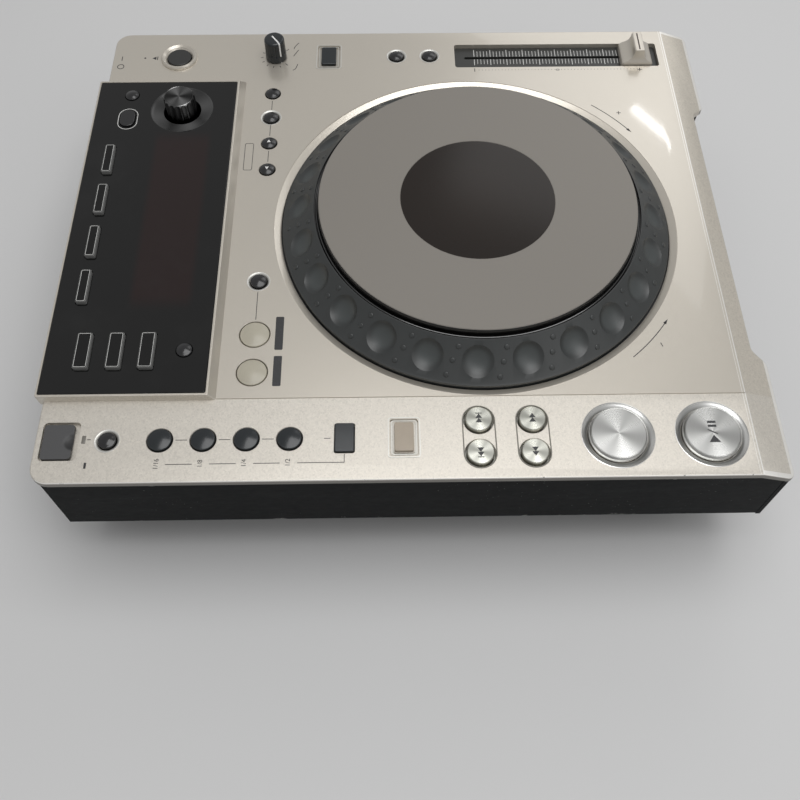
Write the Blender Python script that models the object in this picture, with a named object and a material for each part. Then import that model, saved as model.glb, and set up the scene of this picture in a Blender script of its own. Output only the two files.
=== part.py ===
"""A tabletop disc player for mixing music, built from its separate pieces.

The player lies flat with its front towards -Y and its controls facing +Z.
The origin is on the table under the middle of the case. Lengths are metres.
"""

import math

import bmesh
import bpy
from mathutils import Matrix, Vector

# Clearances shared by the whole case
GAP = 0.0003
HOLE_CLEARANCE = 0.0004
OVERRUN = 0.001
MERGE = 0.000001
LEAST_CORNER = 0.0001
SHARP_ANGLE = math.radians(32)
QUARTER_TURN = math.pi / 2
FACING_SHARE = 0.5

# Jog wheel: dimpled ring, touch plate and the fixed drum that it turns on
JOG_RADIUS = 0.1037
JOG_RISE = 0.0185
JOG_STEPS = 48
RING_INNER_RADIUS = 0.0862
RING_INNER_RISE = 0.0147
RING_WAIST_RISE = 0.0006
RING_EDGE = 0.0012
RING_LAND_EDGE = 0.0006
RING_WALL = 0.0034
RING_FOOT_DROP = 0.0040
RING_HUB_WALL = 0.0030
DIMPLE_COUNT = 24
DIMPLE_RADIUS = 0.0080
DIMPLE_DEPTH = 0.0020
DIMPLE_PHASE = math.radians(12.3)
DIMPLE_STEPS = 8
DIMPLE_RINGS = 3
PLATE_RADIUS = 0.0838
PLATE_THICKNESS = 0.0030
PLATE_EDGE = 0.0005
PLATE_TRAVEL = 0.0004
DRUM_RADIUS = 0.0440
DRUM_BORE_CLEARANCE = 0.0004
DRUM_STEPS = 36
BASE_FLOOR = 0.0026
BASE_WALL = 0.0030
BASE_SIDE_GAP = 0.0020

# Well round the jog wheel
WELL_RIM_MARGIN = 0.0045
WELL_THROAT_MARGIN = 0.0009
WELL_CHAMFER_DEPTH = 0.0020
WELL_STEPS = 60

# Case plan, front to back and across
BEVEL_RUN = 0.01685
BEVEL_DROP = 0.0056
FRONT_MARGIN = 0.01605
ROW_BAND = 0.0224
DISPLAY_DEPTH = 0.0853
DISPLAY_OVERHANG = 0.00285
SIDE_COLUMN = 0.0443
STRIP_WIDTH = 0.0430
NOTCH_HALF = 0.0810
NOTCH_BLEND = 0.0095
NOTCH_DEPTH = 0.0070
NOTCH_STEPS = 4
NOSE_CORNER_RADIUS = 0.0040
REAR_CORNER_RADIUS = 0.0090
CORNER_STEPS = 3
SMALL_CORNER_STEPS = 2
PLAIN_CORNER_STEPS = 1

# Case heights
FOOT_HEIGHT = 0.0100
UNDERBODY_HEIGHT = 0.0290
SIDE_HEIGHT = 0.0468
DECK_THICKNESS = 0.0032
DECK_EDGE_RADIUS = 0.0015
DECK_EDGE_STEPS = 2

# Side covers, front fascia, rear panel and tray
COVER_INSET = 0.0015
COVER_WALL = 0.0030
COVER_FLANGE = 0.0020
COVER_BOTTOM_RADIUS = 0.0012
FASCIA_SETBACK = 0.0012
FASCIA_WALL = 0.0022
REAR_PANEL_WALL = 0.0015
REAR_PANEL_SETBACK = 0.0047
REAR_PANEL_LAP = 0.0050
TRAY_WALL = 0.0015
TRAY_SIDE_INSET = 0.0145
TRAY_FRONT_INSET = 0.0235
TRAY_CORNER_RADIUS = 0.0060
TRAY_BEND = 0.0015
VENT_LENGTH = 0.0400
VENT_WIDTH = 0.0030
VENT_PITCH = 0.0100
VENT_COUNT = 5
VENT_CENTRE_SHARE = 0.62
FOOT_RADIUS = 0.0150
FOOT_TAPER = 0.0015
FOOT_EDGE = 0.0010
FOOT_INSET = 0.0220
FOOT_STEPS = 16

# Raised display block and its glass
DISPLAY_RISE = 0.0045
DISPLAY_ROOT = 0.0020
DISPLAY_FRONT_RUN = 0.0032
DISPLAY_RIGHT_RUN = 0.0038
DISPLAY_LEFT_RUN = 0.0004
DISPLAY_REAR_RUN = 0.0006
DISPLAY_RIM = 0.0013
DISPLAY_CORNER = 0.0008
GLASS_THICKNESS = 0.0026
GLASS_PROUD = 0.0001
GLASS_EDGE = 0.0003
GLASS_LEDGE = 0.0035

# Browse knob, its shaft and the dish in the glass
BROWSE_X_SHARE = 0.748
BROWSE_Y_SHARE = 0.407
DISH_RADIUS = 0.0178
DISH_FLOOR_RADIUS = 0.0120
DISH_DEPTH = 0.0014
DISH_WELL_DEPTH = 0.0050
DISH_WALL = 0.0012
BROWSE_RADIUS = 0.0088
BROWSE_RISE = 0.0143
BROWSE_FLUTES = 16
BROWSE_FLUTE_DEPTH = 0.0007
BROWSE_FLUTE_STEPS = 3
BROWSE_TOP_EDGE = 0.0006
BROWSE_PUSH = 0.0006
BROWSE_CLEARANCE = 0.0003
SHAFT_RADIUS = 0.0030
SHAFT_FLANGE = 0.0016
SHAFT_FLANGE_THICKNESS = 0.0020
SHAFT_TIP_DEPTH = 0.0040
SHAFT_STEPS = 12

# Round buttons
BUTTON_FLANGE = 0.0009
BUTTON_FLANGE_THICKNESS = 0.0010
BUTTON_EDGE = 0.0005
SMALL_DOME_RADIUS = 0.0042
SMALL_DOME_RISE = 0.0017
SMALL_DOME_CROWN = 0.0009
GLASS_DOME_RADIUS = 0.0039
BEAT_RADIUS = 0.0061
BEAT_RISE = 0.0018
BEAT_CROWN = 0.0008
LOOP_RADIUS = 0.0074
LOOP_RISE = 0.0014
LOOP_CROWN = 0.0010
SKIP_RADIUS = 0.0068
SKIP_RISE = 0.0018
SKIP_CROWN = 0.0008
PLAY_RADIUS = 0.0139
PLAY_RISE = 0.0020
PLAY_CROWN = 0.0002
PLAY_EDGE = 0.0009
EJECT_RADIUS = 0.0071
EJECT_RISE = 0.0009
EJECT_CROWN = 0.0001
SMALL_DISH_RADIUS = 0.0055
SMALL_DISH_DEPTH = 0.0008
PLAY_DISH_RADIUS = 0.01675
PLAY_DISH_DEPTH = 0.0013
BEZEL_RADIUS = 0.0110
BEZEL_RISE = 0.0020
BEZEL_ROOT = 0.0010
BEZEL_CREST_SHARE = 0.60
BEZEL_MOUTH_SHARE = 0.35
BUTTON_STEPS = 12
PLAY_STEPS = 20
BEZEL_STEPS = 16

# Square buttons
CAP_WIDTH = 0.0150
CAP_DEPTH = 0.0091
CAP_RISE = 0.0012
CAP_CORNER = 0.0009
CAP_EDGE = 0.0004
CAP_RECESS_MARGIN = 0.0030
CAP_RECESS_DEPTH = 0.0015
CAP_RECESS_SLOPE = 0.0008
GLASS_KEY_RISE = 0.0020
GLASS_KEY_WIDTH = 0.0205
GLASS_KEY_DEPTH = 0.0073
MENU_KEY_DEPTH = 0.0054
BACK_KEY_WIDTH = 0.0125
BACK_KEY_DEPTH = 0.0082
BACK_KEY_CORNER = 0.0038
BACK_KEY_RISE = 0.0010

# Places in the left strip, as shares of the flat deck's length from the bevel
STRIP_CENTRE_OFFSET = 0.0002
PLAY_SHARE = 0.0597
CUE_SHARE = 0.1908
SEARCH_SHARE = 0.3089
TRACK_SHARE = 0.3841
REVERSE_SHARE = 0.4890
BEAT_SELECT_SHARE = 0.5717
BEAT_FIRST_SHARE = 0.6479
BEAT_PITCH_SHARE = 0.0599
BEAT_COUNT = 4
USB_STOP_SHARE = 0.9000
USB_LID_SHARE = 0.9660
SKIP_HALF_PITCH = 0.0086

# Places in the right strip, as shares of the stretch behind the tempo recess
MASTER_TEMPO_SHARE = 0.0741
TEMPO_RANGE_SHARE = 0.1707
JOG_MODE_SHARE = 0.3688
SPEED_KNOB_SHARE = 0.5227
EJECT_SHARE = 0.8065

# Places in the row between jog wheel and display, as shares of the half width
ROW_INSET = 0.0163
ROW_SHARES = {
    "memory_button": 0.650,
    "delete_button": 0.520,
    "call_next_button": 0.386,
    "call_back_button": 0.254,
    "reloop_button": -0.257,
    "loop_out_button": -0.472,
    "loop_in_button": -0.617,
}
DISHED_ROW_BUTTONS = ("delete_button", "reloop_button")

# Places on the display, as shares of its half width and of its depth
GLASS_KEY_SHARES = {
    "menu_button": (0.387, 0.836),
    "info_button": (0.120, 0.836),
    "tag_list_button": (-0.147, 0.836),
    "browse_list_button": (-0.414, 0.836),
    "computer_source_button": (-0.770, 0.770),
    "stick_source_button": (-0.770, 0.587),
    "disc_source_button": (-0.770, 0.405),
}
GLASS_DOME_SHARES = {
    "tag_track_button": (0.852, 0.760),
    "time_mode_button": (-0.766, 0.195),
}
BACK_KEY_SHARES = (0.679, 0.762)

# Tempo slider in its recess
TEMPO_TRAVEL = 0.1000
TEMPO_FRONT_MARGIN = 0.0051
TEMPO_FRONT_SLACK = 0.0040
TEMPO_REAR_SLACK = 0.0012
TEMPO_RECESS_WIDTH = 0.0202
TEMPO_RECESS_CORNER = 0.0016
TEMPO_CAP_LENGTH = 0.0190
TEMPO_CAP_WIDTH = 0.0185
TEMPO_CAP_RISE = 0.0098
TEMPO_CAP_DROP = 0.0022
TEMPO_CAP_CORNER = 0.0010
TEMPO_RIDGE_LENGTH = 0.0056
TEMPO_RIDGE_WIDTH = 0.0162
TEMPO_CAP_SHARES = (
    (0.0, 0.0), (0.30, 0.0), (0.36, 0.28), (0.46, 0.62), (0.62, 0.86), (0.94, 0.96), (1.0, 1.0))
SLOT_OFFSET = 0.0032
STEM_WIDTH = 0.0020
STEM_LENGTH = 0.0080
STEM_DEPTH = 0.0080
SCALE_THICKNESS = 0.0016
SCALE_LAP = 0.0014
TRACK_WIDTH = 0.0110
TRACK_HEIGHT = 0.0080

# Vinyl speed knob
SPEED_RADIUS = 0.0064
SPEED_TOP_RADIUS = 0.0057
SPEED_RISE = 0.0140
SPEED_ROUND = 0.0016
SPEED_LIFT = 0.0006
SPEED_FLUTES = 15
SPEED_FLUTE_DEPTH = 0.00012
SPEED_FLUTE_STEPS = 2

# Stick socket under its lid
LID_RECESS_LENGTH = 0.0171
LID_RECESS_WIDTH = 0.0199
LID_RECESS_DEPTH = 0.0024
LID_RECESS_CORNER = 0.0022
LID_LENGTH = 0.0142
LID_THICKNESS = 0.0018
LID_SINK = 0.0001
LID_SIDE_GAP = 0.0009
LID_REAR_GAP = 0.0005
LID_FRONT_EDGE = 0.0005
LID_CORNER = 0.0018
LID_ROUND_STEPS = 4
THUMB_RADIUS = 0.0046
THUMB_DEPTH = 0.0009
THUMB_STEPS = 12
STICK_WIDTH = 0.0126
STICK_HEIGHT = 0.0052
STICK_DEPTH = 0.0125
STICK_WALL = 0.0014
STICK_CORNER = 0.0004

# Disc drive behind the slot
SLOT_DROP = 0.0260
SLOT_HEIGHT = 0.0060
DISC_WIDTH = 0.1200
DISC_CLEARANCE = 0.0030
SLOT_END_RADIUS = 0.0028
DRIVE_SIDE_WALL = 0.0100
DRIVE_REAR_WALL = 0.0070
DRIVE_REAR_CLEARANCE = 0.0080
DRIVE_FRONT_CLEARANCE = 0.0120
DRIVE_BELOW_SLOT = 0.0060
DRIVE_ABOVE_SLOT = 0.0082
DRIVE_FLOOR = 0.0110
DRIVE_LEG = 0.0090
DRIVE_COVER_WALL = 0.0015
DRIVE_COVER_STEP = 0.0012
DRIVE_COVER_BORDER = 0.0100
DRIVE_CORNER = 0.0030
TABLE_RADIUS = 0.0150
TABLE_THICKNESS = 0.0018
TABLE_LIFT = 0.0004
HUB_RADIUS = 0.0073
HUB_RISE = 0.0020
HUB_CHAMFER = 0.0010
TABLE_WELL_MARGIN = 0.0015
TABLE_WELL_DEPTH = 0.0060
SPINDLE_RADIUS = 0.0020
SPINDLE_STEPS = 20

# Boards, jacks, mains unit and switch at the rear
JACK_DROP = 0.0270
BOARD_THICKNESS = 0.0016
BOARD_DEPTH = 0.0780
BOARD_SIDE_MARGIN = 0.0130
BOARD_MAINS_GAP = 0.0275
BOARD_JACK_DROP = 0.0085
BOARD_POST = 0.0060
BOARD_POST_INSET = 0.0060
BOARD_REAR_GAP = 0.0010
JACK_HOUSING_WIDTH = 0.0110
JACK_HOUSING_DEPTH = 0.0120
JACK_HOUSING_RISE = 0.0070
JACK_SLEEVE_RADIUS = 0.0042
JACK_SLEEVE_LENGTH = 0.0068
JACK_BORE_RADIUS = 0.0017
JACK_BORE_DEPTH = 0.0070
JACK_STEPS = 12
AUDIO_RIGHT_SHARE = 0.6333
AUDIO_LEFT_SHARE = 0.5133
DIGITAL_SHARE = 0.3800
REMOTE_SHARE = 0.7800
REMOTE_RADIUS = 0.0030
REMOTE_LENGTH = 0.0020
PORT_SHARE = 0.1667
PORT_WIDTH = 0.0120
PORT_HEIGHT = 0.0110
PORT_CAVITY_WIDTH = 0.0086
PORT_CAVITY_HEIGHT = 0.0080
PORT_CAVITY_DEPTH = 0.0090
PORT_LENGTH = 0.0008
PORT_CORNER = 0.0015
MAINS_SWITCH_PITCH = 0.0400
MAINS_CAN_WIDTH = 0.0660
MAINS_CAN_DEPTH = 0.0780
MAINS_CAN_RISE = 0.0100
MAINS_CAN_CORNER = 0.0030
MAINS_CAN_REAR_GAP = 0.0060
INLET_WIDTH = 0.0230
INLET_HEIGHT = 0.0150
INLET_CORNER = 0.0025
INLET_LENGTH = 0.0016
INLET_CAVITY_WIDTH = 0.0160
INLET_CAVITY_HEIGHT = 0.0086
INLET_CAVITY_DEPTH = 0.0120
INLET_CAVITY_CORNER = 0.0038
SWITCH_SIDE_MARGIN = 0.0125
SWITCH_WIDTH = 0.0190
SWITCH_HEIGHT = 0.0130
SWITCH_DEPTH = 0.0040
SWITCH_PROUD = 0.0022
SWITCH_DISH = 0.0012
SWITCH_END_GAP = 0.0009
SWITCH_CORNER = 0.0006
SWITCH_TILT = math.radians(7)

# Sizes that follow from the ones above
WELL_RIM_RADIUS = JOG_RADIUS + WELL_RIM_MARGIN
WELL_THROAT_RADIUS = JOG_RADIUS + WELL_THROAT_MARGIN
HALF_WIDTH = WELL_RIM_RADIUS + SIDE_COLUMN
DEPTH = BEVEL_RUN + FRONT_MARGIN + 2 * WELL_RIM_RADIUS + ROW_BAND + DISPLAY_DEPTH
NOSE_Y = -DEPTH / 2
REAR_Y = DEPTH / 2
BEVEL_Y = NOSE_Y + BEVEL_RUN
JOG_Y = BEVEL_Y + FRONT_MARGIN + WELL_RIM_RADIUS
DISPLAY_Y = JOG_Y + WELL_RIM_RADIUS + ROW_BAND
DECK_REAR_Y = REAR_Y - DISPLAY_OVERHANG
DISPLAY_HALF = HALF_WIDTH - STRIP_WIDTH
COLUMN_X = HALF_WIDTH - STRIP_WIDTH / 2 - STRIP_CENTRE_OFFSET
SKIRT_Z = FOOT_HEIGHT + UNDERBODY_HEIGHT
DECK_UNDER_Z = SKIRT_Z + SIDE_HEIGHT
DECK_Z = DECK_UNDER_Z + DECK_THICKNESS
DISPLAY_Z = DECK_Z + DISPLAY_RISE
GLASS_Z = DISPLAY_Z + GLASS_PROUD
GLASS_UNDER_Z = GLASS_Z - GLASS_THICKNESS
SLOT_Z = DECK_Z - SLOT_DROP
TRAY_UNDER_Z = FOOT_HEIGHT + GAP
TRAY_FLOOR_Z = TRAY_UNDER_Z + TRAY_WALL
TRAY_HALF = HALF_WIDTH - TRAY_SIDE_INSET
TRAY_FRONT_Y = NOSE_Y + TRAY_FRONT_INSET
REAR_PANEL_Y = DECK_REAR_Y - REAR_PANEL_SETBACK
TRAY_TOP_Z = SKIRT_Z + REAR_PANEL_LAP
COVER_OUTER_X = HALF_WIDTH - COVER_INSET
COVER_INNER_X = COVER_OUTER_X - COVER_WALL
FASCIA_INNER_Y = NOSE_Y + FASCIA_SETBACK + FASCIA_WALL
TEMPO_RECESS_LENGTH = TEMPO_TRAVEL + TEMPO_CAP_LENGTH + TEMPO_FRONT_SLACK + TEMPO_REAR_SLACK
TEMPO_RECESS_FRONT_Y = BEVEL_Y + TEMPO_FRONT_MARGIN
TEMPO_RECESS_REAR_Y = TEMPO_RECESS_FRONT_Y + TEMPO_RECESS_LENGTH
TEMPO_CAP_Y = TEMPO_RECESS_FRONT_Y + TEMPO_FRONT_SLACK + TEMPO_CAP_LENGTH / 2
BROWSE_X = BROWSE_X_SHARE * DISPLAY_HALF
BROWSE_Y = DISPLAY_Y + BROWSE_Y_SHARE * DISPLAY_DEPTH
ROW_Y = DISPLAY_Y - ROW_INSET
JACK_Z = DECK_Z - JACK_DROP
SWITCH_X = COVER_INNER_X - SWITCH_SIDE_MARGIN - SWITCH_WIDTH / 2
MAINS_X = SWITCH_X - MAINS_SWITCH_PITCH
BOARD_LEFT_X = BOARD_SIDE_MARGIN - TRAY_HALF
BOARD_WIDTH = MAINS_X - MAINS_CAN_WIDTH / 2 - BOARD_MAINS_GAP - BOARD_LEFT_X
BOARD_X = BOARD_LEFT_X + BOARD_WIDTH / 2
PORT_X = BOARD_LEFT_X + PORT_SHARE * BOARD_WIDTH
REMOTE_X = BOARD_LEFT_X + REMOTE_SHARE * BOARD_WIDTH
PHONO_XS = [
    BOARD_LEFT_X + share * BOARD_WIDTH for share in (AUDIO_RIGHT_SHARE, AUDIO_LEFT_SHARE, DIGITAL_SHARE)]

# Finishes: colour, roughness and metallic value
FINISHES = {
    "silver_paint": ((0.62, 0.59, 0.54), 0.38, 0.55),
    "black_cover": ((0.030, 0.032, 0.033), 0.48, 0.0),
    "black_steel": ((0.025, 0.025, 0.027), 0.55, 0.3),
    "jog_rubber": ((0.060, 0.068, 0.068), 0.55, 0.0),
    "jog_plate": ((0.25, 0.24, 0.22), 0.35, 0.2),
    "black_glass": ((0.010, 0.011, 0.011), 0.06, 0.0),
    "black_plastic": ((0.022, 0.023, 0.024), 0.35, 0.0),
    "slate_plastic": ((0.050, 0.062, 0.070), 0.40, 0.0),
    "pale_plastic": ((0.55, 0.53, 0.43), 0.42, 0.0),
    "grey_plastic": ((0.42, 0.42, 0.40), 0.40, 0.0),
    "spun_aluminium": ((0.78, 0.78, 0.76), 0.25, 1.0),
    "foot_rubber": ((0.020, 0.020, 0.020), 0.80, 0.0),
    "zinc_steel": ((0.52, 0.53, 0.54), 0.40, 1.0),
    "drive_plastic": ((0.050, 0.050, 0.055), 0.60, 0.0),
    "circuit_board": ((0.030, 0.110, 0.050), 0.50, 0.0),
}


def clear_scene():
    for item in list(bpy.data.objects):
        bpy.data.objects.remove(item, do_unlink=True)


def finish_material(name):
    """One Principled material for each named finish."""
    material = bpy.data.materials.get(name)
    if material is None:
        colour, roughness, metallic = FINISHES[name]
        material = bpy.data.materials.new(name)
        material.use_nodes = True
        shader = material.node_tree.nodes["Principled BSDF"]
        shader.inputs["Base Color"].default_value = (*colour, 1.0)
        shader.inputs["Roughness"].default_value = roughness
        shader.inputs["Metallic"].default_value = metallic
    return material


# Outlines and solids

def circle(radius, steps):
    """Points of a circle in plan, counter-clockwise from +X."""
    turn = 2 * math.pi / steps
    return [(radius * math.cos(i * turn), radius * math.sin(i * turn)) for i in range(steps)]


def fluted_circle(radius, depth, flutes, steps):
    """A circle whose radius dips by depth in each flute."""
    count = flutes * steps
    points = []
    for i in range(count):
        angle = 2 * math.pi * i / count
        reach = radius - depth * (1 - math.cos(flutes * angle)) / 2
        points.append((reach * math.cos(angle), reach * math.sin(angle)))
    return points


def rounded_rectangle(width, depth, radius, steps=CORNER_STEPS, centre=(0, 0)):
    """Counter-clockwise outline of a rectangle with round corners."""
    points = []
    for quarter, (side, end) in enumerate(((1, 1), (-1, 1), (-1, -1), (1, -1))):
        corner_x = centre[0] + side * (width / 2 - radius)
        corner_y = centre[1] + end * (depth / 2 - radius)
        for i in range(steps + 1):
            angle = (quarter + i / steps) * QUARTER_TURN
            points.append((corner_x + radius * math.cos(angle), corner_y + radius * math.sin(angle)))
    return points


def level(outline, height):
    """The outline as a ring of points at one height."""
    return [(x, y, height) for x, y in outline]


def lofted(rings):
    """Skin a stack of rings with equal point counts and cap both ends."""
    mesh = bmesh.new()
    stack = [[mesh.verts.new(point) for point in ring] for ring in rings]
    for lower, upper in zip(stack, stack[1:]):
        count = len(lower)
        for i in range(count):
            j = (i + 1) % count
            mesh.faces.new((lower[i], lower[j], upper[j], upper[i]))
    mesh.faces.new(stack[0])
    mesh.faces.new(stack[-1])
    bmesh.ops.recalc_face_normals(mesh, faces=mesh.faces)
    return mesh


def turned(profile, steps):
    """Spin (radius, height) points about Z; a profile off the axis closes on itself."""
    mesh = bmesh.new()
    verts = [mesh.verts.new((radius, 0, height)) for radius, height in profile]
    edges = [mesh.edges.new(pair) for pair in zip(verts, verts[1:])]
    if profile[0][0] > 0 and profile[-1][0] > 0:
        edges.append(mesh.edges.new((verts[-1], verts[0])))
    bmesh.ops.spin(
        mesh, geom=verts + edges, cent=(0, 0, 0), axis=(0, 0, 1),
        angle=2 * math.pi, steps=steps, use_merge=True,
    )
    bmesh.ops.remove_doubles(mesh, verts=mesh.verts, dist=MERGE)
    bmesh.ops.recalc_face_normals(mesh, faces=mesh.faces)
    return mesh


def block(width, depth, radius, levels, steps=CORNER_STEPS, centre=(0, 0)):
    """A rounded block; levels are (inset, height) pairs up or down its sides."""
    rings = []
    for inset, height in levels:
        corner = max(radius - inset, LEAST_CORNER)
        outline = rounded_rectangle(width - 2 * inset, depth - 2 * inset, corner, steps, centre)
        rings.append(level(outline, height))
    return lofted(rings)


def swept(section, start, end):
    """Extrude a closed section of (across, up) points along Y."""
    return lofted([[(across, place, up) for across, up in section] for place in (start, end)])


def moved(mesh, offset):
    bmesh.ops.translate(mesh, verts=mesh.verts, vec=Vector(offset))
    return mesh


def rotated(mesh, angle, axis):
    bmesh.ops.rotate(mesh, verts=mesh.verts, cent=(0, 0, 0), matrix=Matrix.Rotation(angle, 3, axis))
    return mesh


def facing_rear(mesh):
    """Turn a shape drawn along +Z so that it points along +Y."""
    return rotated(mesh, -QUARTER_TURN, "X")


def gathered(meshes):
    """Put separate shells into one mesh."""
    whole = bmesh.new()
    for mesh in meshes:
        carrier = bpy.data.meshes.new("carrier")
        mesh.to_mesh(carrier)
        mesh.free()
        whole.from_mesh(carrier)
        bpy.data.meshes.remove(carrier)
    return whole


def piece(name, mesh, finish, place=(0, 0, 0)):
    """Make one named object of the player from a mesh."""
    data = bpy.data.meshes.new(name)
    mesh.to_mesh(data)
    mesh.free()
    data.shade_smooth()
    data.set_sharp_from_angle(angle=SHARP_ANGLE)
    data.materials.append(finish_material(finish))
    item = bpy.data.objects.new(name, data)
    item.location = place
    bpy.context.collection.objects.link(item)
    return item


def combine(target, meshes, operation, label):
    """Add or cut shapes with one live Boolean; the tool object stays hidden."""
    data = bpy.data.meshes.new(label)
    tool_mesh = gathered(meshes)
    tool_mesh.to_mesh(data)
    tool_mesh.free()
    tool = bpy.data.objects.new(label, data)
    bpy.context.collection.objects.link(tool)
    tool.location = target.location
    tool.hide_render = True
    tool.display_type = "WIRE"
    tool.hide_set(True)
    modifier = target.modifiers.new(label, "BOOLEAN")
    modifier.operation = operation
    modifier.solver = "EXACT"
    modifier.object = tool


def cut(target, meshes, label):
    combine(target, meshes, "DIFFERENCE", label)


def add(target, meshes, label):
    combine(target, meshes, "UNION", label)


# Places of the controls

def strip_y(share):
    """A place along the left strip, from the bevel line to the deck's rear edge."""
    return BEVEL_Y + share * (DECK_REAR_Y - BEVEL_Y)


def right_y(share):
    """A place along the right strip, behind the tempo recess."""
    return TEMPO_RECESS_REAR_Y + share * (DECK_REAR_Y - TEMPO_RECESS_REAR_Y)


def on_display(shares):
    return shares[0] * DISPLAY_HALF, DISPLAY_Y + shares[1] * DISPLAY_DEPTH


def deck_domes():
    """Round deck buttons: name, place, (radius, rise, crown), finish, dish and raised bezel or not."""
    small = (SMALL_DOME_RADIUS, SMALL_DOME_RISE, SMALL_DOME_CROWN)
    loop = (LOOP_RADIUS, LOOP_RISE, LOOP_CROWN)
    skip = (SKIP_RADIUS, SKIP_RISE, SKIP_CROWN)
    beat = (BEAT_RADIUS, BEAT_RISE, BEAT_CROWN)
    play = (PLAY_RADIUS, PLAY_RISE, PLAY_CROWN)
    eject = (EJECT_RADIUS, EJECT_RISE, EJECT_CROWN)
    small_dish = (SMALL_DISH_RADIUS, SMALL_DISH_DEPTH)
    play_dish = (PLAY_DISH_RADIUS, PLAY_DISH_DEPTH)
    domes = [
        ("play_button", (-COLUMN_X, strip_y(PLAY_SHARE)), play, "spun_aluminium", play_dish, False),
        ("cue_button", (-COLUMN_X, strip_y(CUE_SHARE)), play, "spun_aluminium", play_dish, False),
        ("usb_stop_button", (-COLUMN_X, strip_y(USB_STOP_SHARE)), small, "black_plastic",
         small_dish, False),
        ("master_tempo_button", (COLUMN_X, right_y(MASTER_TEMPO_SHARE)), small, "black_plastic",
         small_dish, False),
        ("tempo_range_button", (COLUMN_X, right_y(TEMPO_RANGE_SHARE)), small, "black_plastic",
         small_dish, False),
        ("eject_button", (COLUMN_X, right_y(EJECT_SHARE)), eject, "slate_plastic",
         None, True),
    ]
    for side, end in ((1, "forward"), (-1, "back")):
        for name, share in (("track_", TRACK_SHARE), ("search_", SEARCH_SHARE)):
            place = (-COLUMN_X + side * SKIP_HALF_PITCH, strip_y(share))
            domes.append((name + end + "_button", place, skip, "spun_aluminium", None, False))
    for i in range(BEAT_COUNT):
        y = strip_y(BEAT_FIRST_SHARE + i * BEAT_PITCH_SHARE)
        domes.append(("beat_button_" + str(i + 1), (-COLUMN_X, y), beat, "slate_plastic", None, False))
    for name, share in ROW_SHARES.items():
        place = (share * HALF_WIDTH, ROW_Y)
        if name.startswith("loop"):
            domes.append((name, place, loop, "pale_plastic", None, False))
        else:
            dish = small_dish if name in DISHED_ROW_BUTTONS else None
            domes.append((name, place, small, "black_plastic", dish, False))
    return domes


def deck_caps():
    """Square deck buttons: name, place, finish and whether a recess surrounds them."""
    return [
        ("reverse_button", (-COLUMN_X, strip_y(REVERSE_SHARE)), "pale_plastic", True),
        ("beat_select_button", (-COLUMN_X, strip_y(BEAT_SELECT_SHARE)), "slate_plastic", False),
        ("jog_mode_button", (COLUMN_X, right_y(JOG_MODE_SHARE)), "slate_plastic", True),
    ]


# Case

def deck_height(y):
    """Height of the deck's upper face, flat and then sloping down to the nose."""
    return DECK_Z - max(BEVEL_Y - y, 0) * BEVEL_DROP / BEVEL_RUN


def nose_y(x, inset):
    """Front edge in plan, which steps back along an S-curve over the disc slot."""
    ramp = (NOTCH_HALF + NOTCH_BLEND - abs(x)) / NOTCH_BLEND
    ramp = min(max(ramp, 0), 1)
    return NOSE_Y + inset + NOTCH_DEPTH * ramp * ramp * (3 - 2 * ramp)


def notch_stations():
    """X places from left to right that describe both S-curves."""
    curve = [NOTCH_HALF + NOTCH_BLEND * i / NOTCH_STEPS for i in range(NOTCH_STEPS + 1)]
    return [-x for x in reversed(curve)] + curve


def arc(centre, radius, start, end, steps):
    angles = [start + (end - start) * i / steps for i in range(steps + 1)]
    return [(centre[0] + radius * math.cos(a), centre[1] + radius * math.sin(a)) for a in angles]


def deck_outline(inset):
    """Counter-clockwise outline from the left end of the bevel line; also the right end's index."""
    half = HALF_WIDTH - inset
    nose_radius = NOSE_CORNER_RADIUS - inset
    rear_radius = REAR_CORNER_RADIUS - inset
    nose_x = half - nose_radius
    front = NOSE_Y + inset + nose_radius
    rear_x = half - rear_radius
    rear = DECK_REAR_Y - inset - rear_radius
    points = [(-half, BEVEL_Y)]
    points += arc((-nose_x, front), nose_radius, 2 * QUARTER_TURN, 3 * QUARTER_TURN, CORNER_STEPS)
    points += [(x, nose_y(x, inset)) for x in notch_stations()]
    points += arc((nose_x, front), nose_radius, 3 * QUARTER_TURN, 4 * QUARTER_TURN, CORNER_STEPS)
    right = len(points)
    points.append((half, BEVEL_Y))
    points += arc((rear_x, rear), rear_radius, 0, QUARTER_TURN, CORNER_STEPS)
    points += arc((-rear_x, rear), rear_radius, QUARTER_TURN, 2 * QUARTER_TURN, CORNER_STEPS)
    return points, right


def deck_plate():
    """The bent top plate: a flat field and a sloping nose, with a rounded upper edge."""
    steps = []
    for i in range(DECK_EDGE_STEPS + 1):
        angle = i / DECK_EDGE_STEPS * QUARTER_TURN
        steps.append((DECK_EDGE_RADIUS * (1 - math.sin(angle)), DECK_EDGE_RADIUS * (1 - math.cos(angle))))
    steps.append((0, DECK_THICKNESS))
    mesh = bmesh.new()
    rings = []
    for inset, drop in steps:
        outline, right = deck_outline(inset)
        rings.append([mesh.verts.new((x, y, deck_height(y) - drop)) for x, y in outline])
    for upper, lower in zip(rings, rings[1:]):
        count = len(upper)
        for i in range(count):
            j = (i + 1) % count
            mesh.faces.new((upper[i], upper[j], lower[j], lower[i]))
    for ring in (rings[0], rings[-1]):
        mesh.faces.new(ring[:right + 1])
        mesh.faces.new(ring[right:] + ring[:1])
    bmesh.ops.recalc_face_normals(mesh, faces=mesh.faces)
    return mesh


def display_outline(front, rear, left, right):
    """Display block in plan, drawn in from its base by the four named runs."""
    x0 = -DISPLAY_HALF + left
    x1 = DISPLAY_HALF - right
    y0 = DISPLAY_Y + front
    y1 = REAR_Y - rear
    centre = ((x0 + x1) / 2, (y0 + y1) / 2)
    return x1 - x0, y1 - y0, centre


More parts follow.
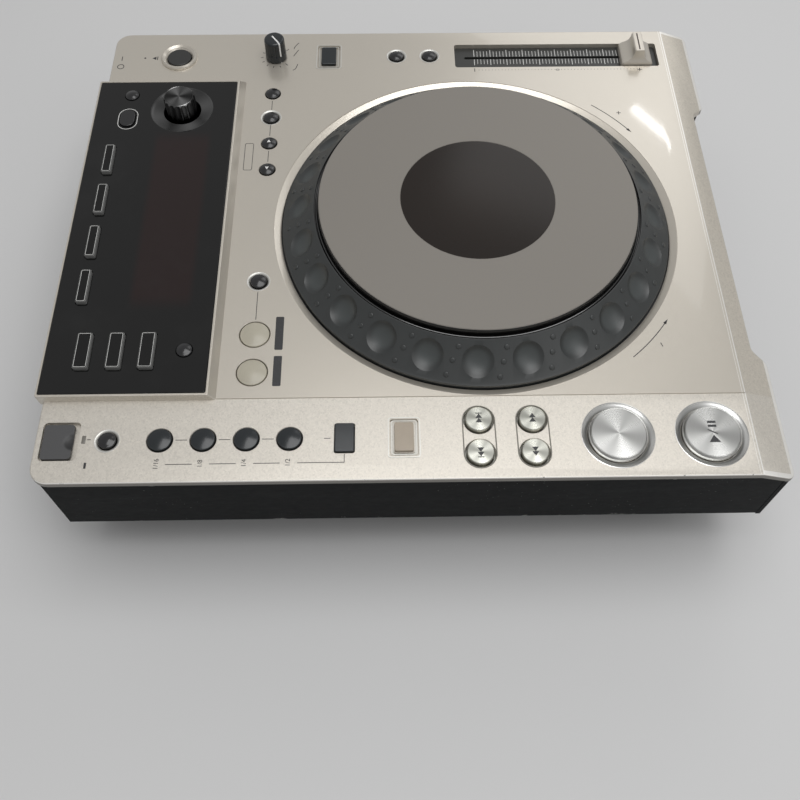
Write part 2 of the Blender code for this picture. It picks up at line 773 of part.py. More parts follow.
def display_ring(front, rear, left, right, height):
    width, depth, centre = display_outline(front, rear, left, right)
    return level(rounded_rectangle(width, depth, DISPLAY_CORNER, CORNER_STEPS, centre), height)


def display_block():
    """Raised frame of the display: sloped at the front and right, upright at the left."""
    full = (DISPLAY_FRONT_RUN, 0, DISPLAY_LEFT_RUN, DISPLAY_RIGHT_RUN)
    rear_foot = DISPLAY_REAR_RUN
    return lofted([
        display_ring(0, rear_foot, 0, 0, DECK_Z - DISPLAY_ROOT),
        display_ring(0, rear_foot, 0, 0, DECK_Z),
        display_ring(*full, DISPLAY_Z),
    ])


def glass_area(inset):
    """Width, depth and centre of the glass inside its rim."""
    return display_outline(
        DISPLAY_FRONT_RUN + inset, inset, DISPLAY_LEFT_RUN + inset, DISPLAY_RIGHT_RUN + inset)


def stick_housing():
    """Walls of the stick socket below the lid recess."""
    x, y = -COLUMN_X, strip_y(USB_LID_SHARE)
    width = STICK_WIDTH + 2 * STICK_WALL
    depth = STICK_HEIGHT + 2 * STICK_WALL
    top = DECK_Z - LID_RECESS_DEPTH - (DECK_THICKNESS - LID_RECESS_DEPTH) / 2
    bottom = DECK_Z - LID_RECESS_DEPTH - STICK_DEPTH - STICK_WALL
    return block(width, depth, STICK_WALL, ((0, bottom), (0, top)), centre=(x, y))


def bezel(place, hole_radius):
    """Raised ring round a button, with a dished inner slope."""
    wall = BEZEL_RADIUS - hole_radius
    crest = hole_radius + wall * BEZEL_CREST_SHARE
    mouth = hole_radius - HOLE_CLEARANCE
    shoulder = BEZEL_RADIUS - wall * (1 - BEZEL_CREST_SHARE) / 2
    profile = [
        (mouth, -BEZEL_ROOT),
        (BEZEL_RADIUS, -BEZEL_ROOT),
        (BEZEL_RADIUS, BEZEL_RISE * BEZEL_MOUTH_SHARE),
        (shoulder, BEZEL_RISE),
        (crest, BEZEL_RISE),
        (mouth, BEZEL_RISE * BEZEL_MOUTH_SHARE),
    ]
    return moved(turned(profile, BEZEL_STEPS), (place[0], place[1], DECK_Z))


def dome_hole(place, radius, dish, steps):
    """Cutter for a round button, with a conical dish round it if it has one."""
    hole = radius + HOLE_CLEARANCE
    profile = [(0, OVERRUN + BEZEL_RISE)]
    if dish:
        dish_radius, dish_depth = dish
        slope = (dish_radius - hole) / dish_depth
        profile[0] = (0, OVERRUN)
        profile.append((dish_radius + slope * OVERRUN, OVERRUN))
        profile.append((hole, -dish_depth))
    else:
        profile.append((hole, OVERRUN + BEZEL_RISE))
    profile.append((hole, -DECK_THICKNESS - OVERRUN))
    profile.append((0, -DECK_THICKNESS - OVERRUN))
    return moved(turned(profile, steps), (place[0], place[1], DECK_Z))


def cap_hole(place, recess):
    """Cutter for a square button, stepped where a sloping recess surrounds it."""
    levels = []
    clear = -HOLE_CLEARANCE
    if recess:
        outer = -CAP_RECESS_MARGIN
        inner = outer + CAP_RECESS_SLOPE
        slope = CAP_RECESS_SLOPE / CAP_RECESS_DEPTH
        levels.append((outer - slope * OVERRUN, OVERRUN))
        levels.append((inner, -CAP_RECESS_DEPTH))
        levels.append((clear, -CAP_RECESS_DEPTH))
    else:
        levels.append((clear, OVERRUN))
    levels.append((clear, -DECK_THICKNESS - OVERRUN))
    mesh = block(CAP_WIDTH, CAP_DEPTH, CAP_CORNER, levels, steps=PLAIN_CORNER_STEPS)
    return moved(mesh, (place[0], place[1], DECK_Z))


def well_cutter():
    """Opening for the jog wheel with its bright chamfer."""
    slope = (WELL_RIM_RADIUS - WELL_THROAT_RADIUS) / WELL_CHAMFER_DEPTH
    profile = [
        (0, OVERRUN),
        (WELL_RIM_RADIUS + slope * OVERRUN, OVERRUN),
        (WELL_THROAT_RADIUS, -WELL_CHAMFER_DEPTH),
        (WELL_THROAT_RADIUS, -DECK_THICKNESS - OVERRUN),
        (0, -DECK_THICKNESS - OVERRUN),
    ]
    return moved(turned(profile, WELL_STEPS), (0, JOG_Y, DECK_Z))


def glass_pocket():
    """Pocket for the glass and the window through the deck under it."""
    width, depth, centre = glass_area(DISPLAY_RIM - GAP)
    floor = GLASS_UNDER_Z - GAP
    return block(
        width, depth, DISPLAY_CORNER,
        (
            (0, DISPLAY_Z + OVERRUN),
            (0, floor),
            (GLASS_LEDGE, floor),
            (GLASS_LEDGE, DECK_UNDER_Z - OVERRUN),
        ),
        centre=centre,
    )


def lid_recess():
    """Recess for the lid and the socket below it, as one stepped cutter."""
    x, y = -COLUMN_X, strip_y(USB_LID_SHARE)
    floor = DECK_Z - LID_RECESS_DEPTH
    outer = rounded_rectangle(
        LID_RECESS_WIDTH, LID_RECESS_LENGTH, LID_RECESS_CORNER, CORNER_STEPS, (x, y))
    inner = rounded_rectangle(STICK_WIDTH, STICK_HEIGHT, STICK_CORNER, CORNER_STEPS, (x, y))
    return lofted([
        level(outer, DECK_Z + OVERRUN),
        level(outer, floor),
        level(inner, floor),
        level(inner, floor - STICK_DEPTH),
    ])


def make_deck():
    deck = piece("deck", deck_plate(), "silver_paint")
    raised = [display_block(), stick_housing()]
    openings = [
        well_cutter(),
        glass_pocket(),
        lid_recess(),
        block(
            TEMPO_RECESS_WIDTH, TEMPO_RECESS_LENGTH, TEMPO_RECESS_CORNER,
            ((0, DECK_Z + OVERRUN), (0, DECK_UNDER_Z - OVERRUN)),
            centre=(COLUMN_X, (TEMPO_RECESS_FRONT_Y + TEMPO_RECESS_REAR_Y) / 2),
        ),
        dome_hole((COLUMN_X, right_y(SPEED_KNOB_SHARE)), SHAFT_RADIUS, None, BUTTON_STEPS),
    ]
    for _, place, sizes, _, dish, has_bezel in deck_domes():
        steps = PLAY_STEPS if sizes[0] == PLAY_RADIUS else BUTTON_STEPS
        openings.append(dome_hole(place, sizes[0], dish, steps))
        if has_bezel:
            raised.append(bezel(place, sizes[0] + HOLE_CLEARANCE))
    for _, place, _, recess in deck_caps():
        openings.append(cap_hole(place, recess))
    add(deck, raised, "deck_raised_parts")
    cut(deck, openings, "deck_openings")


def make_fascia():
    """Front wall behind the nose, stepped back over the slot, with a foot flange."""
    flange_x = TRAY_HALF
    edge_x = COVER_OUTER_X
    stations = sorted(set(notch_stations() + [-edge_x, -flange_x, flange_x, edge_x]))
    rings = []
    for x in stations:
        face = nose_y(x, FASCIA_SETBACK)
        inner = face + FASCIA_WALL
        top = deck_height(face) - DECK_THICKNESS - GAP
        flange_top = SKIRT_Z + COVER_FLANGE
        section = [(face, SKIRT_Z), (face, top), (inner, top), (inner, flange_top), (inner, SKIRT_Z)]
        rings.append([(x, y, z) for y, z in section])
    mesh = lofted(rings)
    foot = []
    for face in mesh.faces:
        centre = face.calc_center_median()
        low = centre.z < SKIRT_Z + COVER_FLANGE
        if face.normal.y > FACING_SHARE and low and abs(centre.x) < flange_x:
            foot.append(face)
    grown = bmesh.ops.extrude_face_region(mesh, geom=foot)
    bmesh.ops.delete(mesh, geom=foot, context="FACES_ONLY")
    for item in grown["geom"]:
        if isinstance(item, bmesh.types.BMVert):
            item.co.y = TRAY_FRONT_Y - GAP
    bmesh.ops.recalc_face_normals(mesh, faces=mesh.faces)
    fascia = piece("front_fascia", mesh, "silver_paint")
    slot = block(
        DISC_WIDTH + 2 * DISC_CLEARANCE, SLOT_HEIGHT, SLOT_END_RADIUS,
        ((0, NOSE_Y - OVERRUN), (0, FASCIA_INNER_Y + NOTCH_DEPTH + OVERRUN)),
    )
    cut(fascia, [moved(facing_rear(slot), (0, 0, SLOT_Z))], "disc_slot")


def make_side_covers():
    """Black side walls that follow the bevel, with an inward foot; mirrored left to right."""
    flange_in = TRAY_HALF + GAP
    stations = (FASCIA_INNER_Y + GAP, BEVEL_Y, REAR_PANEL_Y)
    for name, side in (("side_cover_left", -1), ("side_cover_right", 1)):
        rings = []
        for y in stations:
            top = deck_height(y) - DECK_THICKNESS - GAP
            section = [
                (COVER_OUTER_X, top),
                (COVER_INNER_X, top),
                (COVER_INNER_X, SKIRT_Z + COVER_FLANGE),
                (flange_in, SKIRT_Z + COVER_FLANGE),
                (flange_in, SKIRT_Z),
                (COVER_OUTER_X - COVER_BOTTOM_RADIUS, SKIRT_Z),
                (COVER_OUTER_X, SKIRT_Z + COVER_BOTTOM_RADIUS),
            ]
            rings.append([(side * x, y, z) for x, z in section])
        piece(name, lofted(rings), "black_cover")


def make_tray():
    """Folded sheet tray under the case, with vent slots through its floor."""
    width = 2 * TRAY_HALF
    depth = REAR_PANEL_Y - TRAY_FRONT_Y
    centre = (0, (REAR_PANEL_Y + TRAY_FRONT_Y) / 2)
    levels = (
        (TRAY_BEND, TRAY_UNDER_Z),
        (0, TRAY_UNDER_Z + TRAY_BEND),
        (0, TRAY_TOP_Z),
        (TRAY_WALL, TRAY_TOP_Z),
        (TRAY_WALL, TRAY_FLOOR_Z),
    )
    sheet = block(width, depth, TRAY_CORNER_RADIUS, levels, centre=centre)
    tray = piece("chassis_tray", sheet, "black_steel")
    slots = []
    first = -(VENT_COUNT - 1) / 2
    for side in (-1, 1):
        for i in range(VENT_COUNT):
            x = side * TRAY_HALF * VENT_CENTRE_SHARE
            y = JOG_Y + (first + i) * VENT_PITCH
            slots.append(block(
                VENT_LENGTH, VENT_WIDTH, VENT_WIDTH / 2 - MERGE,
                ((0, TRAY_UNDER_Z - OVERRUN), (0, TRAY_FLOOR_Z + OVERRUN)),
                steps=PLAIN_CORNER_STEPS, centre=(x, y)))
    cut(tray, slots, "tray_vents")


def make_feet():
    profile = [
        (0, FOOT_HEIGHT),
        (FOOT_RADIUS, FOOT_HEIGHT),
        (FOOT_RADIUS - FOOT_TAPER, FOOT_EDGE),
        (FOOT_RADIUS - FOOT_TAPER - FOOT_EDGE, 0),
        (0, 0),
    ]
    x = TRAY_HALF - FOOT_INSET
    front = TRAY_FRONT_Y + FOOT_INSET
    rear = REAR_PANEL_Y - FOOT_INSET
    places = (
        ("foot_front_left", -x, front),
        ("foot_front_right", x, front),
        ("foot_rear_left", -x, rear),
        ("foot_rear_right", x, rear),
    )
    for name, foot_x, foot_y in places:
        piece(name, turned(profile, FOOT_STEPS), "foot_rubber", (foot_x, foot_y, 0))


# Jog wheel

def dimple_cutters():
    """Ball-ended cutters, one for each finger dimple on the ring's cone."""
    ball = (DIMPLE_RADIUS ** 2 + DIMPLE_DEPTH ** 2) / (2 * DIMPLE_DEPTH)
    cone_outer = Vector((JOG_RADIUS - RING_EDGE, 0, RING_WAIST_RISE))
    cone_inner = Vector((RING_INNER_RADIUS, 0, RING_INNER_RISE))
    middle = (cone_outer + cone_inner) / 2
    along = cone_inner - cone_outer
    lean = math.atan2(along.z, -along.x)
    reach = math.acos((ball - DIMPLE_DEPTH - OVERRUN) / ball)
    profile = []
    for i in range(DIMPLE_RINGS + 1):
        angle = reach * i / DIMPLE_RINGS
        profile.append((ball * math.sin(angle), ball - DIMPLE_DEPTH - ball * math.cos(angle)))
    profile.append((0, profile[-1][1]))
    cutters = []
    for i in range(DIMPLE_COUNT):
        mesh = turned(profile, DIMPLE_STEPS)
        rotated(mesh, lean, "Y")
        moved(mesh, middle)
        rotated(mesh, DIMPLE_PHASE + i * 2 * math.pi / DIMPLE_COUNT, "Z")
        cutters.append(mesh)
    return cutters


def make_jog_wheel():
    centre = (0, JOG_Y, DECK_Z)
    axis = bpy.data.objects.new("jog_axis", None)
    axis.location = centre
    bpy.context.collection.objects.link(axis)
    bpy.context.view_layer.update()

    bore = DRUM_RADIUS + DRUM_BORE_CLEARANCE
    hub = bore + RING_HUB_WALL
    cone_start = JOG_RADIUS - RING_EDGE
    slant = math.hypot(cone_start - RING_INNER_RADIUS, RING_INNER_RISE - RING_WAIST_RISE)
    wall_in = RING_WALL * slant / (RING_INNER_RISE - RING_WAIST_RISE)
    web_under = RING_INNER_RISE - RING_WALL
    ring_profile = [
        (bore, -RING_FOOT_DROP),
        (hub, -RING_FOOT_DROP),
        (hub, web_under),
        (RING_INNER_RADIUS - RING_WALL, web_under),
        (cone_start - wall_in, RING_WAIST_RISE),
        (cone_start - wall_in, -RING_FOOT_DROP),
        (JOG_RADIUS - RING_EDGE, -RING_FOOT_DROP),
        (JOG_RADIUS, -RING_FOOT_DROP + RING_EDGE),
        (JOG_RADIUS, RING_WAIST_RISE - RING_EDGE),
        (cone_start, RING_WAIST_RISE),
        (RING_INNER_RADIUS, RING_INNER_RISE - RING_LAND_EDGE),
        (RING_INNER_RADIUS - RING_LAND_EDGE, RING_INNER_RISE),
        (bore, RING_INNER_RISE),
    ]
    ring = piece("jog_ring", turned(ring_profile, JOG_STEPS), "jog_rubber", centre)
    cut(ring, dimple_cutters(), "finger_dimples")

    plate_under = JOG_RISE - PLATE_THICKNESS
    plate_profile = [
        (0, plate_under),
        (PLATE_RADIUS, plate_under),
        (PLATE_RADIUS, JOG_RISE - PLATE_EDGE),
        (PLATE_RADIUS - PLATE_EDGE, JOG_RISE),
        (0, JOG_RISE),
    ]
    plate = piece("jog_plate", turned(plate_profile, JOG_STEPS), "jog_plate", centre)

    floor_top = -RING_FOOT_DROP - GAP
    floor_under = floor_top - BASE_FLOOR
    rim_inner = JOG_RADIUS + BASE_SIDE_GAP
    rim_top = -DECK_THICKNESS - GAP
    drum_top = plate_under - PLATE_TRAVEL - GAP
    base_profile = [
        (0, floor_under),
        (rim_inner + BASE_WALL, floor_under),
        (rim_inner + BASE_WALL, rim_top),
        (rim_inner, rim_top),
        (rim_inner, floor_top),
        (DRUM_RADIUS, floor_top),
        (DRUM_RADIUS, drum_top),
        (0, drum_top),
    ]
    base = piece("jog_base", turned(base_profile, DRUM_STEPS), "drive_plastic", centre)
    for item in (ring, plate, base):
        item.parent = axis
        item.matrix_parent_inverse = axis.matrix_world.inverted()


# Buttons, knobs and slider

def round_button(name, place, surface, plate, sizes, finish, steps, edge=BUTTON_EDGE):
    """A domed cap with a retaining flange under the plate that it passes through."""
    radius, rise, crown = sizes
    under = -plate - GAP
    profile = [
        (0, rise),
        (radius - edge, rise - crown),
        (radius, rise - crown - edge),
        (radius, under),
        (radius + BUTTON_FLANGE, under),
        (radius + BUTTON_FLANGE, under - BUTTON_FLANGE_THICKNESS),
        (0, under - BUTTON_FLANGE_THICKNESS),
    ]
    piece(name, turned(profile, steps), finish, (place[0], place[1], surface))


def square_button(name, place, surface, plate, size, rise, finish, steps=PLAIN_CORNER_STEPS):
    """A square cap, size being (width, depth, corner), with a chamfered top and a flange."""
    under = -plate - GAP
    levels = (
        (-BUTTON_FLANGE, under - BUTTON_FLANGE_THICKNESS),
        (-BUTTON_FLANGE, under),
        (0, under),
        (0, rise - CAP_EDGE),
        (CAP_EDGE, rise),
    )
    mesh = block(*size, levels, steps=steps)
    piece(name, mesh, finish, (place[0], place[1], surface))


def make_deck_buttons():
    for name, place, sizes, finish, _, _ in deck_domes():
        large = sizes[0] == PLAY_RADIUS
        steps = PLAY_STEPS if large else BUTTON_STEPS
        edge = PLAY_EDGE if large else BUTTON_EDGE
        round_button(name, place, DECK_Z, DECK_THICKNESS, sizes, finish, steps, edge)
    size = (CAP_WIDTH, CAP_DEPTH, CAP_CORNER)
    for name, place, finish, _ in deck_caps():
        square_button(name, place, DECK_Z, DECK_THICKNESS, size, CAP_RISE, finish)


def glass_key_depth(name):
    source = name.endswith("source_button")
    return GLASS_KEY_DEPTH if source else MENU_KEY_DEPTH


def make_display_glass():
    """Glass plate with its key holes and the sunken dish of the browse knob."""
    width, depth, centre = glass_area(DISPLAY_RIM)
    levels = ((0, GLASS_UNDER_Z), (0, GLASS_Z - GLASS_EDGE), (GLASS_EDGE, GLASS_Z))
    glass = piece(
        "display_glass", block(width, depth, DISPLAY_CORNER, levels, centre=centre), "black_glass")
    well_radius = DISH_FLOOR_RADIUS - DISH_WALL
    cup_profile = [
        (0, -DISH_WELL_DEPTH - DISH_WALL),
        (DISH_FLOOR_RADIUS, -DISH_WELL_DEPTH - DISH_WALL),
        (DISH_FLOOR_RADIUS, -GLASS_THICKNESS / 2),
        (0, -GLASS_THICKNESS / 2),
    ]
    cup = moved(turned(cup_profile, PLAY_STEPS), (BROWSE_X, BROWSE_Y, GLASS_Z))
    add(glass, [cup], "browse_cup")
    slope = (DISH_RADIUS - DISH_FLOOR_RADIUS) / DISH_DEPTH
    hole = SHAFT_RADIUS + HOLE_CLEARANCE
    dish_profile = [
        (0, OVERRUN),
        (DISH_RADIUS + slope * OVERRUN, OVERRUN),
        (DISH_FLOOR_RADIUS, -DISH_DEPTH),
        (well_radius, -DISH_DEPTH),
        (well_radius, -DISH_WELL_DEPTH),
        (hole, -DISH_WELL_DEPTH),
        (hole, -DISH_WELL_DEPTH - DISH_WALL - OVERRUN),
        (0, -DISH_WELL_DEPTH - DISH_WALL - OVERRUN),
    ]
    holes = [moved(turned(dish_profile, PLAY_STEPS), (BROWSE_X, BROWSE_Y, GLASS_Z))]
    through = ((-HOLE_CLEARANCE, OVERRUN), (-HOLE_CLEARANCE, -GLASS_THICKNESS - OVERRUN))
    for name, shares in GLASS_KEY_SHARES.items():
        x, y = on_display(shares)
        key = block(GLASS_KEY_WIDTH, glass_key_depth(name), CAP_CORNER, through, steps=PLAIN_CORNER_STEPS)
        holes.append(moved(key, (x, y, GLASS_Z)))
    x, y = on_display(BACK_KEY_SHARES)
    key = block(BACK_KEY_WIDTH, BACK_KEY_DEPTH, BACK_KEY_CORNER, through, steps=SMALL_CORNER_STEPS)
    holes.append(moved(key, (x, y, GLASS_Z)))
    for name, shares in GLASS_DOME_SHARES.items():
        x, y = on_display(shares)
        radius = GLASS_DOME_RADIUS + HOLE_CLEARANCE
        bottom = -GLASS_THICKNESS - OVERRUN
        column = [(0, OVERRUN), (radius, OVERRUN), (radius, bottom), (0, bottom)]
        holes.append(moved(turned(column, BUTTON_STEPS), (x, y, GLASS_Z)))
    cut(glass, holes, "glass_holes")


def make_display_keys():
    for name, shares in GLASS_KEY_SHARES.items():
        size = (GLASS_KEY_WIDTH, glass_key_depth(name), CAP_CORNER)
        square_button(
            name, on_display(shares), GLASS_Z, GLASS_THICKNESS, size, GLASS_KEY_RISE, "grey_plastic")
    size = (BACK_KEY_WIDTH, BACK_KEY_DEPTH, BACK_KEY_CORNER)
    square_button(
        "back_button", on_display(BACK_KEY_SHARES), GLASS_Z, GLASS_THICKNESS, size, BACK_KEY_RISE,
        "black_plastic", SMALL_CORNER_STEPS)
    sizes = (GLASS_DOME_RADIUS, SMALL_DOME_RISE, SMALL_DOME_CROWN)
    for name, shares in GLASS_DOME_SHARES.items():
        round_button(
            name, on_display(shares), GLASS_Z, GLASS_THICKNESS, sizes, "black_plastic", BUTTON_STEPS)


def make_browse_knob():
    """Fluted knob over the end of a pushable encoder shaft."""
    place = (BROWSE_X, BROWSE_Y, GLASS_Z)
    rise = BROWSE_RISE - DISPLAY_RISE - GLASS_PROUD
    tip = rise - SHAFT_TIP_DEPTH
    well_floor = -DISH_WELL_DEPTH
    bottom = BROWSE_PUSH + BROWSE_CLEARANCE
    flange_top = well_floor - DISH_WALL - GAP
    shaft_profile = [
        (0, tip),
        (SHAFT_RADIUS, tip),
        (SHAFT_RADIUS, flange_top),
        (SHAFT_RADIUS + SHAFT_FLANGE, flange_top),
        (SHAFT_RADIUS + SHAFT_FLANGE, flange_top - SHAFT_FLANGE_THICKNESS),
        (0, flange_top - SHAFT_FLANGE_THICKNESS),
    ]
    piece("browse_shaft", turned(shaft_profile, SHAFT_STEPS), "zinc_steel", place)
    count = BROWSE_FLUTES * BROWSE_FLUTE_STEPS
    bore = circle(SHAFT_RADIUS + HOLE_CLEARANCE, count)
    body = fluted_circle(BROWSE_RADIUS, BROWSE_FLUTE_DEPTH, BROWSE_FLUTES, BROWSE_FLUTE_STEPS)
    crown = fluted_circle(
        BROWSE_RADIUS - BROWSE_TOP_EDGE, BROWSE_FLUTE_DEPTH, BROWSE_FLUTES, BROWSE_FLUTE_STEPS)
    knob = lofted([
        level(bore, tip + GAP),
        level(bore, bottom),
        level(body, bottom),
        level(body, rise - BROWSE_TOP_EDGE),
        level(crown, rise),
    ])
    piece("browse_knob", knob, "black_plastic", place)


def make_speed_knob():
    """Ribbed pointer knob on its stem through the deck."""
    place = (COLUMN_X, right_y(SPEED_KNOB_SHARE), DECK_Z)
    count = SPEED_FLUTES * SPEED_FLUTE_STEPS
    stem = circle(SHAFT_RADIUS, count)
    collar = circle(SHAFT_RADIUS + SHAFT_FLANGE, count)
    collar_top = -DECK_THICKNESS - GAP
    skirt = fluted_circle(SPEED_RADIUS, SPEED_FLUTE_DEPTH, SPEED_FLUTES, SPEED_FLUTE_STEPS)
    shoulder = fluted_circle(SPEED_TOP_RADIUS, SPEED_FLUTE_DEPTH, SPEED_FLUTES, SPEED_FLUTE_STEPS)
    crown = circle(SPEED_TOP_RADIUS - SPEED_ROUND, count)
    knob = lofted([
        level(collar, collar_top - SHAFT_FLANGE_THICKNESS),
        level(collar, collar_top),
        level(stem, collar_top),
        level(stem, SPEED_LIFT),
        level(skirt, SPEED_LIFT),
        level(shoulder, SPEED_RISE - SPEED_ROUND),
        level(crown, SPEED_RISE),
    ])
    piece("speed_knob", knob, "slate_plastic", place)


def make_tempo_slider():
    """Waisted slider cap with its stem, and the scale plate with the slide track below."""
    rings = []
    for height_share, waist_share in TEMPO_CAP_SHARES:
        height = -TEMPO_CAP_DROP + height_share * (TEMPO_CAP_RISE + TEMPO_CAP_DROP)
        length = TEMPO_CAP_LENGTH + waist_share * (TEMPO_RIDGE_LENGTH - TEMPO_CAP_LENGTH)
        width = TEMPO_CAP_WIDTH + waist_share * (TEMPO_RIDGE_WIDTH - TEMPO_CAP_WIDTH)
        outline = rounded_rectangle(width, length, TEMPO_CAP_CORNER, SMALL_CORNER_STEPS)
        rings.append(level(outline, height))
    slider = piece("tempo_slider", lofted(rings), "silver_paint", (COLUMN_X, TEMPO_CAP_Y, DECK_Z))
    stem_bottom = -DECK_THICKNESS - SCALE_THICKNESS - STEM_DEPTH / 2
    stem = block(
        STEM_WIDTH, STEM_LENGTH, STEM_WIDTH / 4, ((0, stem_bottom), (0, 0)),
        steps=PLAIN_CORNER_STEPS, centre=(-SLOT_OFFSET, 0))
    add(slider, [stem], "slider_stem")

    top = -DECK_THICKNESS - GAP
    length = TEMPO_RECESS_LENGTH + 2 * SCALE_LAP
    scale_y = (TEMPO_RECESS_FRONT_Y + TEMPO_RECESS_REAR_Y) / 2
    scale = piece(
        "tempo_scale",
        block(
            TEMPO_RECESS_WIDTH + 2 * SCALE_LAP, length, TEMPO_RECESS_CORNER,
            ((0, top - SCALE_THICKNESS), (0, top))),
        "black_plastic", (COLUMN_X, scale_y, DECK_Z))
    track_bottom = top - SCALE_THICKNESS - TRACK_HEIGHT
    track = block(
        TRACK_WIDTH, TEMPO_RECESS_LENGTH, TEMPO_RECESS_CORNER,
        ((0, track_bottom), (0, top - SCALE_THICKNESS / 2)), centre=(-SLOT_OFFSET, 0))
    add(scale, [track], "slide_track")
    slot_length = TEMPO_TRAVEL + STEM_LENGTH + 2 * HOLE_CLEARANCE
    slot_y = TEMPO_CAP_Y + TEMPO_TRAVEL / 2 - scale_y
    slot = block(
        STEM_WIDTH + 2 * HOLE_CLEARANCE, slot_length, STEM_WIDTH / 2,
        ((0, stem_bottom - GAP), (0, top + OVERRUN)), steps=PLAIN_CORNER_STEPS,
        centre=(-SLOT_OFFSET, slot_y))
    cut(scale, [slot], "slide_slot")


def lid_section(shift):
    """Side view of the lid with a round rear edge, drawn in at both ends by shift."""
    radius = LID_THICKNESS / 2
    front = radius - LID_LENGTH + shift
    section = [(front, -radius), (-shift, -radius)]
    for i in range(1, LID_ROUND_STEPS):
        angle = (2 * i / LID_ROUND_STEPS - 1) * QUARTER_TURN
        section.append((radius * math.cos(angle) - shift, radius * math.sin(angle)))
    section += [(-shift, radius), (front + LID_FRONT_EDGE, radius), (front, radius - LID_FRONT_EDGE)]
    return section


def make_usb_lid():
    """Lid over the stick socket, hinged at its round rear edge, with a thumb scoop."""
    recess_rear = strip_y(USB_LID_SHARE) + LID_RECESS_LENGTH / 2
    radius = LID_THICKNESS / 2
    hinge_y = recess_rear - LID_REAR_GAP - radius
    hinge_z = DECK_Z - LID_SINK - radius
    half = LID_RECESS_WIDTH / 2 - LID_SIDE_GAP
    stations = []
    for x, y in arc((0, 0), LID_CORNER, 0, QUARTER_TURN, CORNER_STEPS):
        stations.append((half - LID_CORNER + x, LID_CORNER - y))
    rings = []
    for side in (1, -1):
        for x, shift in stations:
            rings.append([(side * x, y, z) for y, z in lid_section(shift)])
        stations.reverse()
    lid = piece("usb_lid", lofted(rings), "slate_plastic", (-COLUMN_X, hinge_y, hinge_z))
    scoop_profile = [
        (0, OVERRUN),
        (THUMB_RADIUS * (1 + OVERRUN / THUMB_DEPTH), OVERRUN),
        (0, -THUMB_DEPTH),
    ]
    scoop = moved(turned(scoop_profile, THUMB_STEPS), (0, radius - LID_LENGTH, radius))
    cut(lid, [scoop], "thumb_scoop")


# Disc drive

def make_drive():
    front = FASCIA_INNER_Y + NOTCH_DEPTH + GAP
    cavity_half = DISC_WIDTH / 2 + DISC_CLEARANCE
    half = cavity_half + DRIVE_SIDE_WALL
    disc_y = front + DRIVE_FRONT_CLEARANCE + DISC_WIDTH / 2
    cavity_rear = disc_y + DISC_WIDTH / 2 + DRIVE_REAR_CLEARANCE
    rear = cavity_rear + DRIVE_REAR_WALL
    cavity_floor = SLOT_Z - DRIVE_BELOW_SLOT
    bottom = cavity_floor - DRIVE_FLOOR
    top = SLOT_Z + DRIVE_ABOVE_SLOT
    middle = (0, (front + rear) / 2)
    body = block(
        2 * half, rear - front, DRIVE_CORNER, ((0, bottom), (0, top)),
        steps=PLAIN_CORNER_STEPS, centre=middle)
    base = piece("drive_base", body, "drive_plastic")
    legs = []
    leg_rear = rear - DRIVE_LEG
    leg_front = max(front, TRAY_FRONT_Y + TRAY_WALL) + DRIVE_LEG
    for side in (-1, 1):
        for y in (leg_front, leg_rear):
            legs.append(block(
                DRIVE_LEG, DRIVE_LEG, DRIVE_CORNER,
                ((0, TRAY_FLOOR_Z + GAP), (0, bottom + DRIVE_FLOOR / 2)),
                steps=PLAIN_CORNER_STEPS, centre=(side * (half - DRIVE_LEG), y)))
    add(base, legs, "drive_legs")
    cavity_front = front - DRIVE_CORNER - OVERRUN
    cavity = block(
        2 * cavity_half, cavity_rear - cavity_front, DRIVE_CORNER,
        ((0, cavity_floor), (0, top + OVERRUN)),
        steps=PLAIN_CORNER_STEPS, centre=(0, (cavity_front + cavity_rear) / 2))
    well_radius = TABLE_RADIUS + TABLE_WELL_MARGIN
    shaft_hole = SPINDLE_RADIUS + GAP
    well_floor = -TABLE_WELL_DEPTH
    well_profile = [
        (0, OVERRUN),
        (well_radius, OVERRUN),
        (well_radius, well_floor),
        (shaft_hole, well_floor),
        (shaft_hole, -DRIVE_FLOOR - OVERRUN),
        (0, -DRIVE_FLOOR - OVERRUN),
    ]
    well = moved(turned(well_profile, SPINDLE_STEPS), (0, disc_y, cavity_floor))
    cut(base, [cavity], "disc_cavity")
    cut(base, [well], "turntable_well")

    cover_levels = (
        (0, top + GAP),
        (0, top + GAP + DRIVE_COVER_WALL),
        (DRIVE_COVER_BORDER - DRIVE_COVER_STEP, top + GAP + DRIVE_COVER_WALL),
        (DRIVE_COVER_BORDER, top + GAP + DRIVE_COVER_WALL + DRIVE_COVER_STEP),
    )
    cover = block(
        2 * half, rear - front, DRIVE_COVER_BORDER + DRIVE_CORNER, cover_levels,
        steps=PLAIN_CORNER_STEPS, centre=middle)
    piece("drive_cover", cover, "zinc_steel")

    table_under = TABLE_LIFT
    table_top = table_under + TABLE_THICKNESS
    spindle_profile = [
        (0, -DRIVE_FLOOR),
        (SPINDLE_RADIUS, -DRIVE_FLOOR),
        (SPINDLE_RADIUS, table_under),
        (TABLE_RADIUS, table_under),
        (TABLE_RADIUS, table_top),
        (HUB_RADIUS, table_top),
        (HUB_RADIUS, table_top + HUB_RISE - HUB_CHAMFER),
        (HUB_RADIUS - HUB_CHAMFER, table_top + HUB_RISE),
        (0, table_top + HUB_RISE),
    ]
    spindle = turned(spindle_profile, SPINDLE_STEPS)
    piece("disc_spindle", spindle, "black_plastic", (0, disc_y, cavity_floor))


# Rear of the case

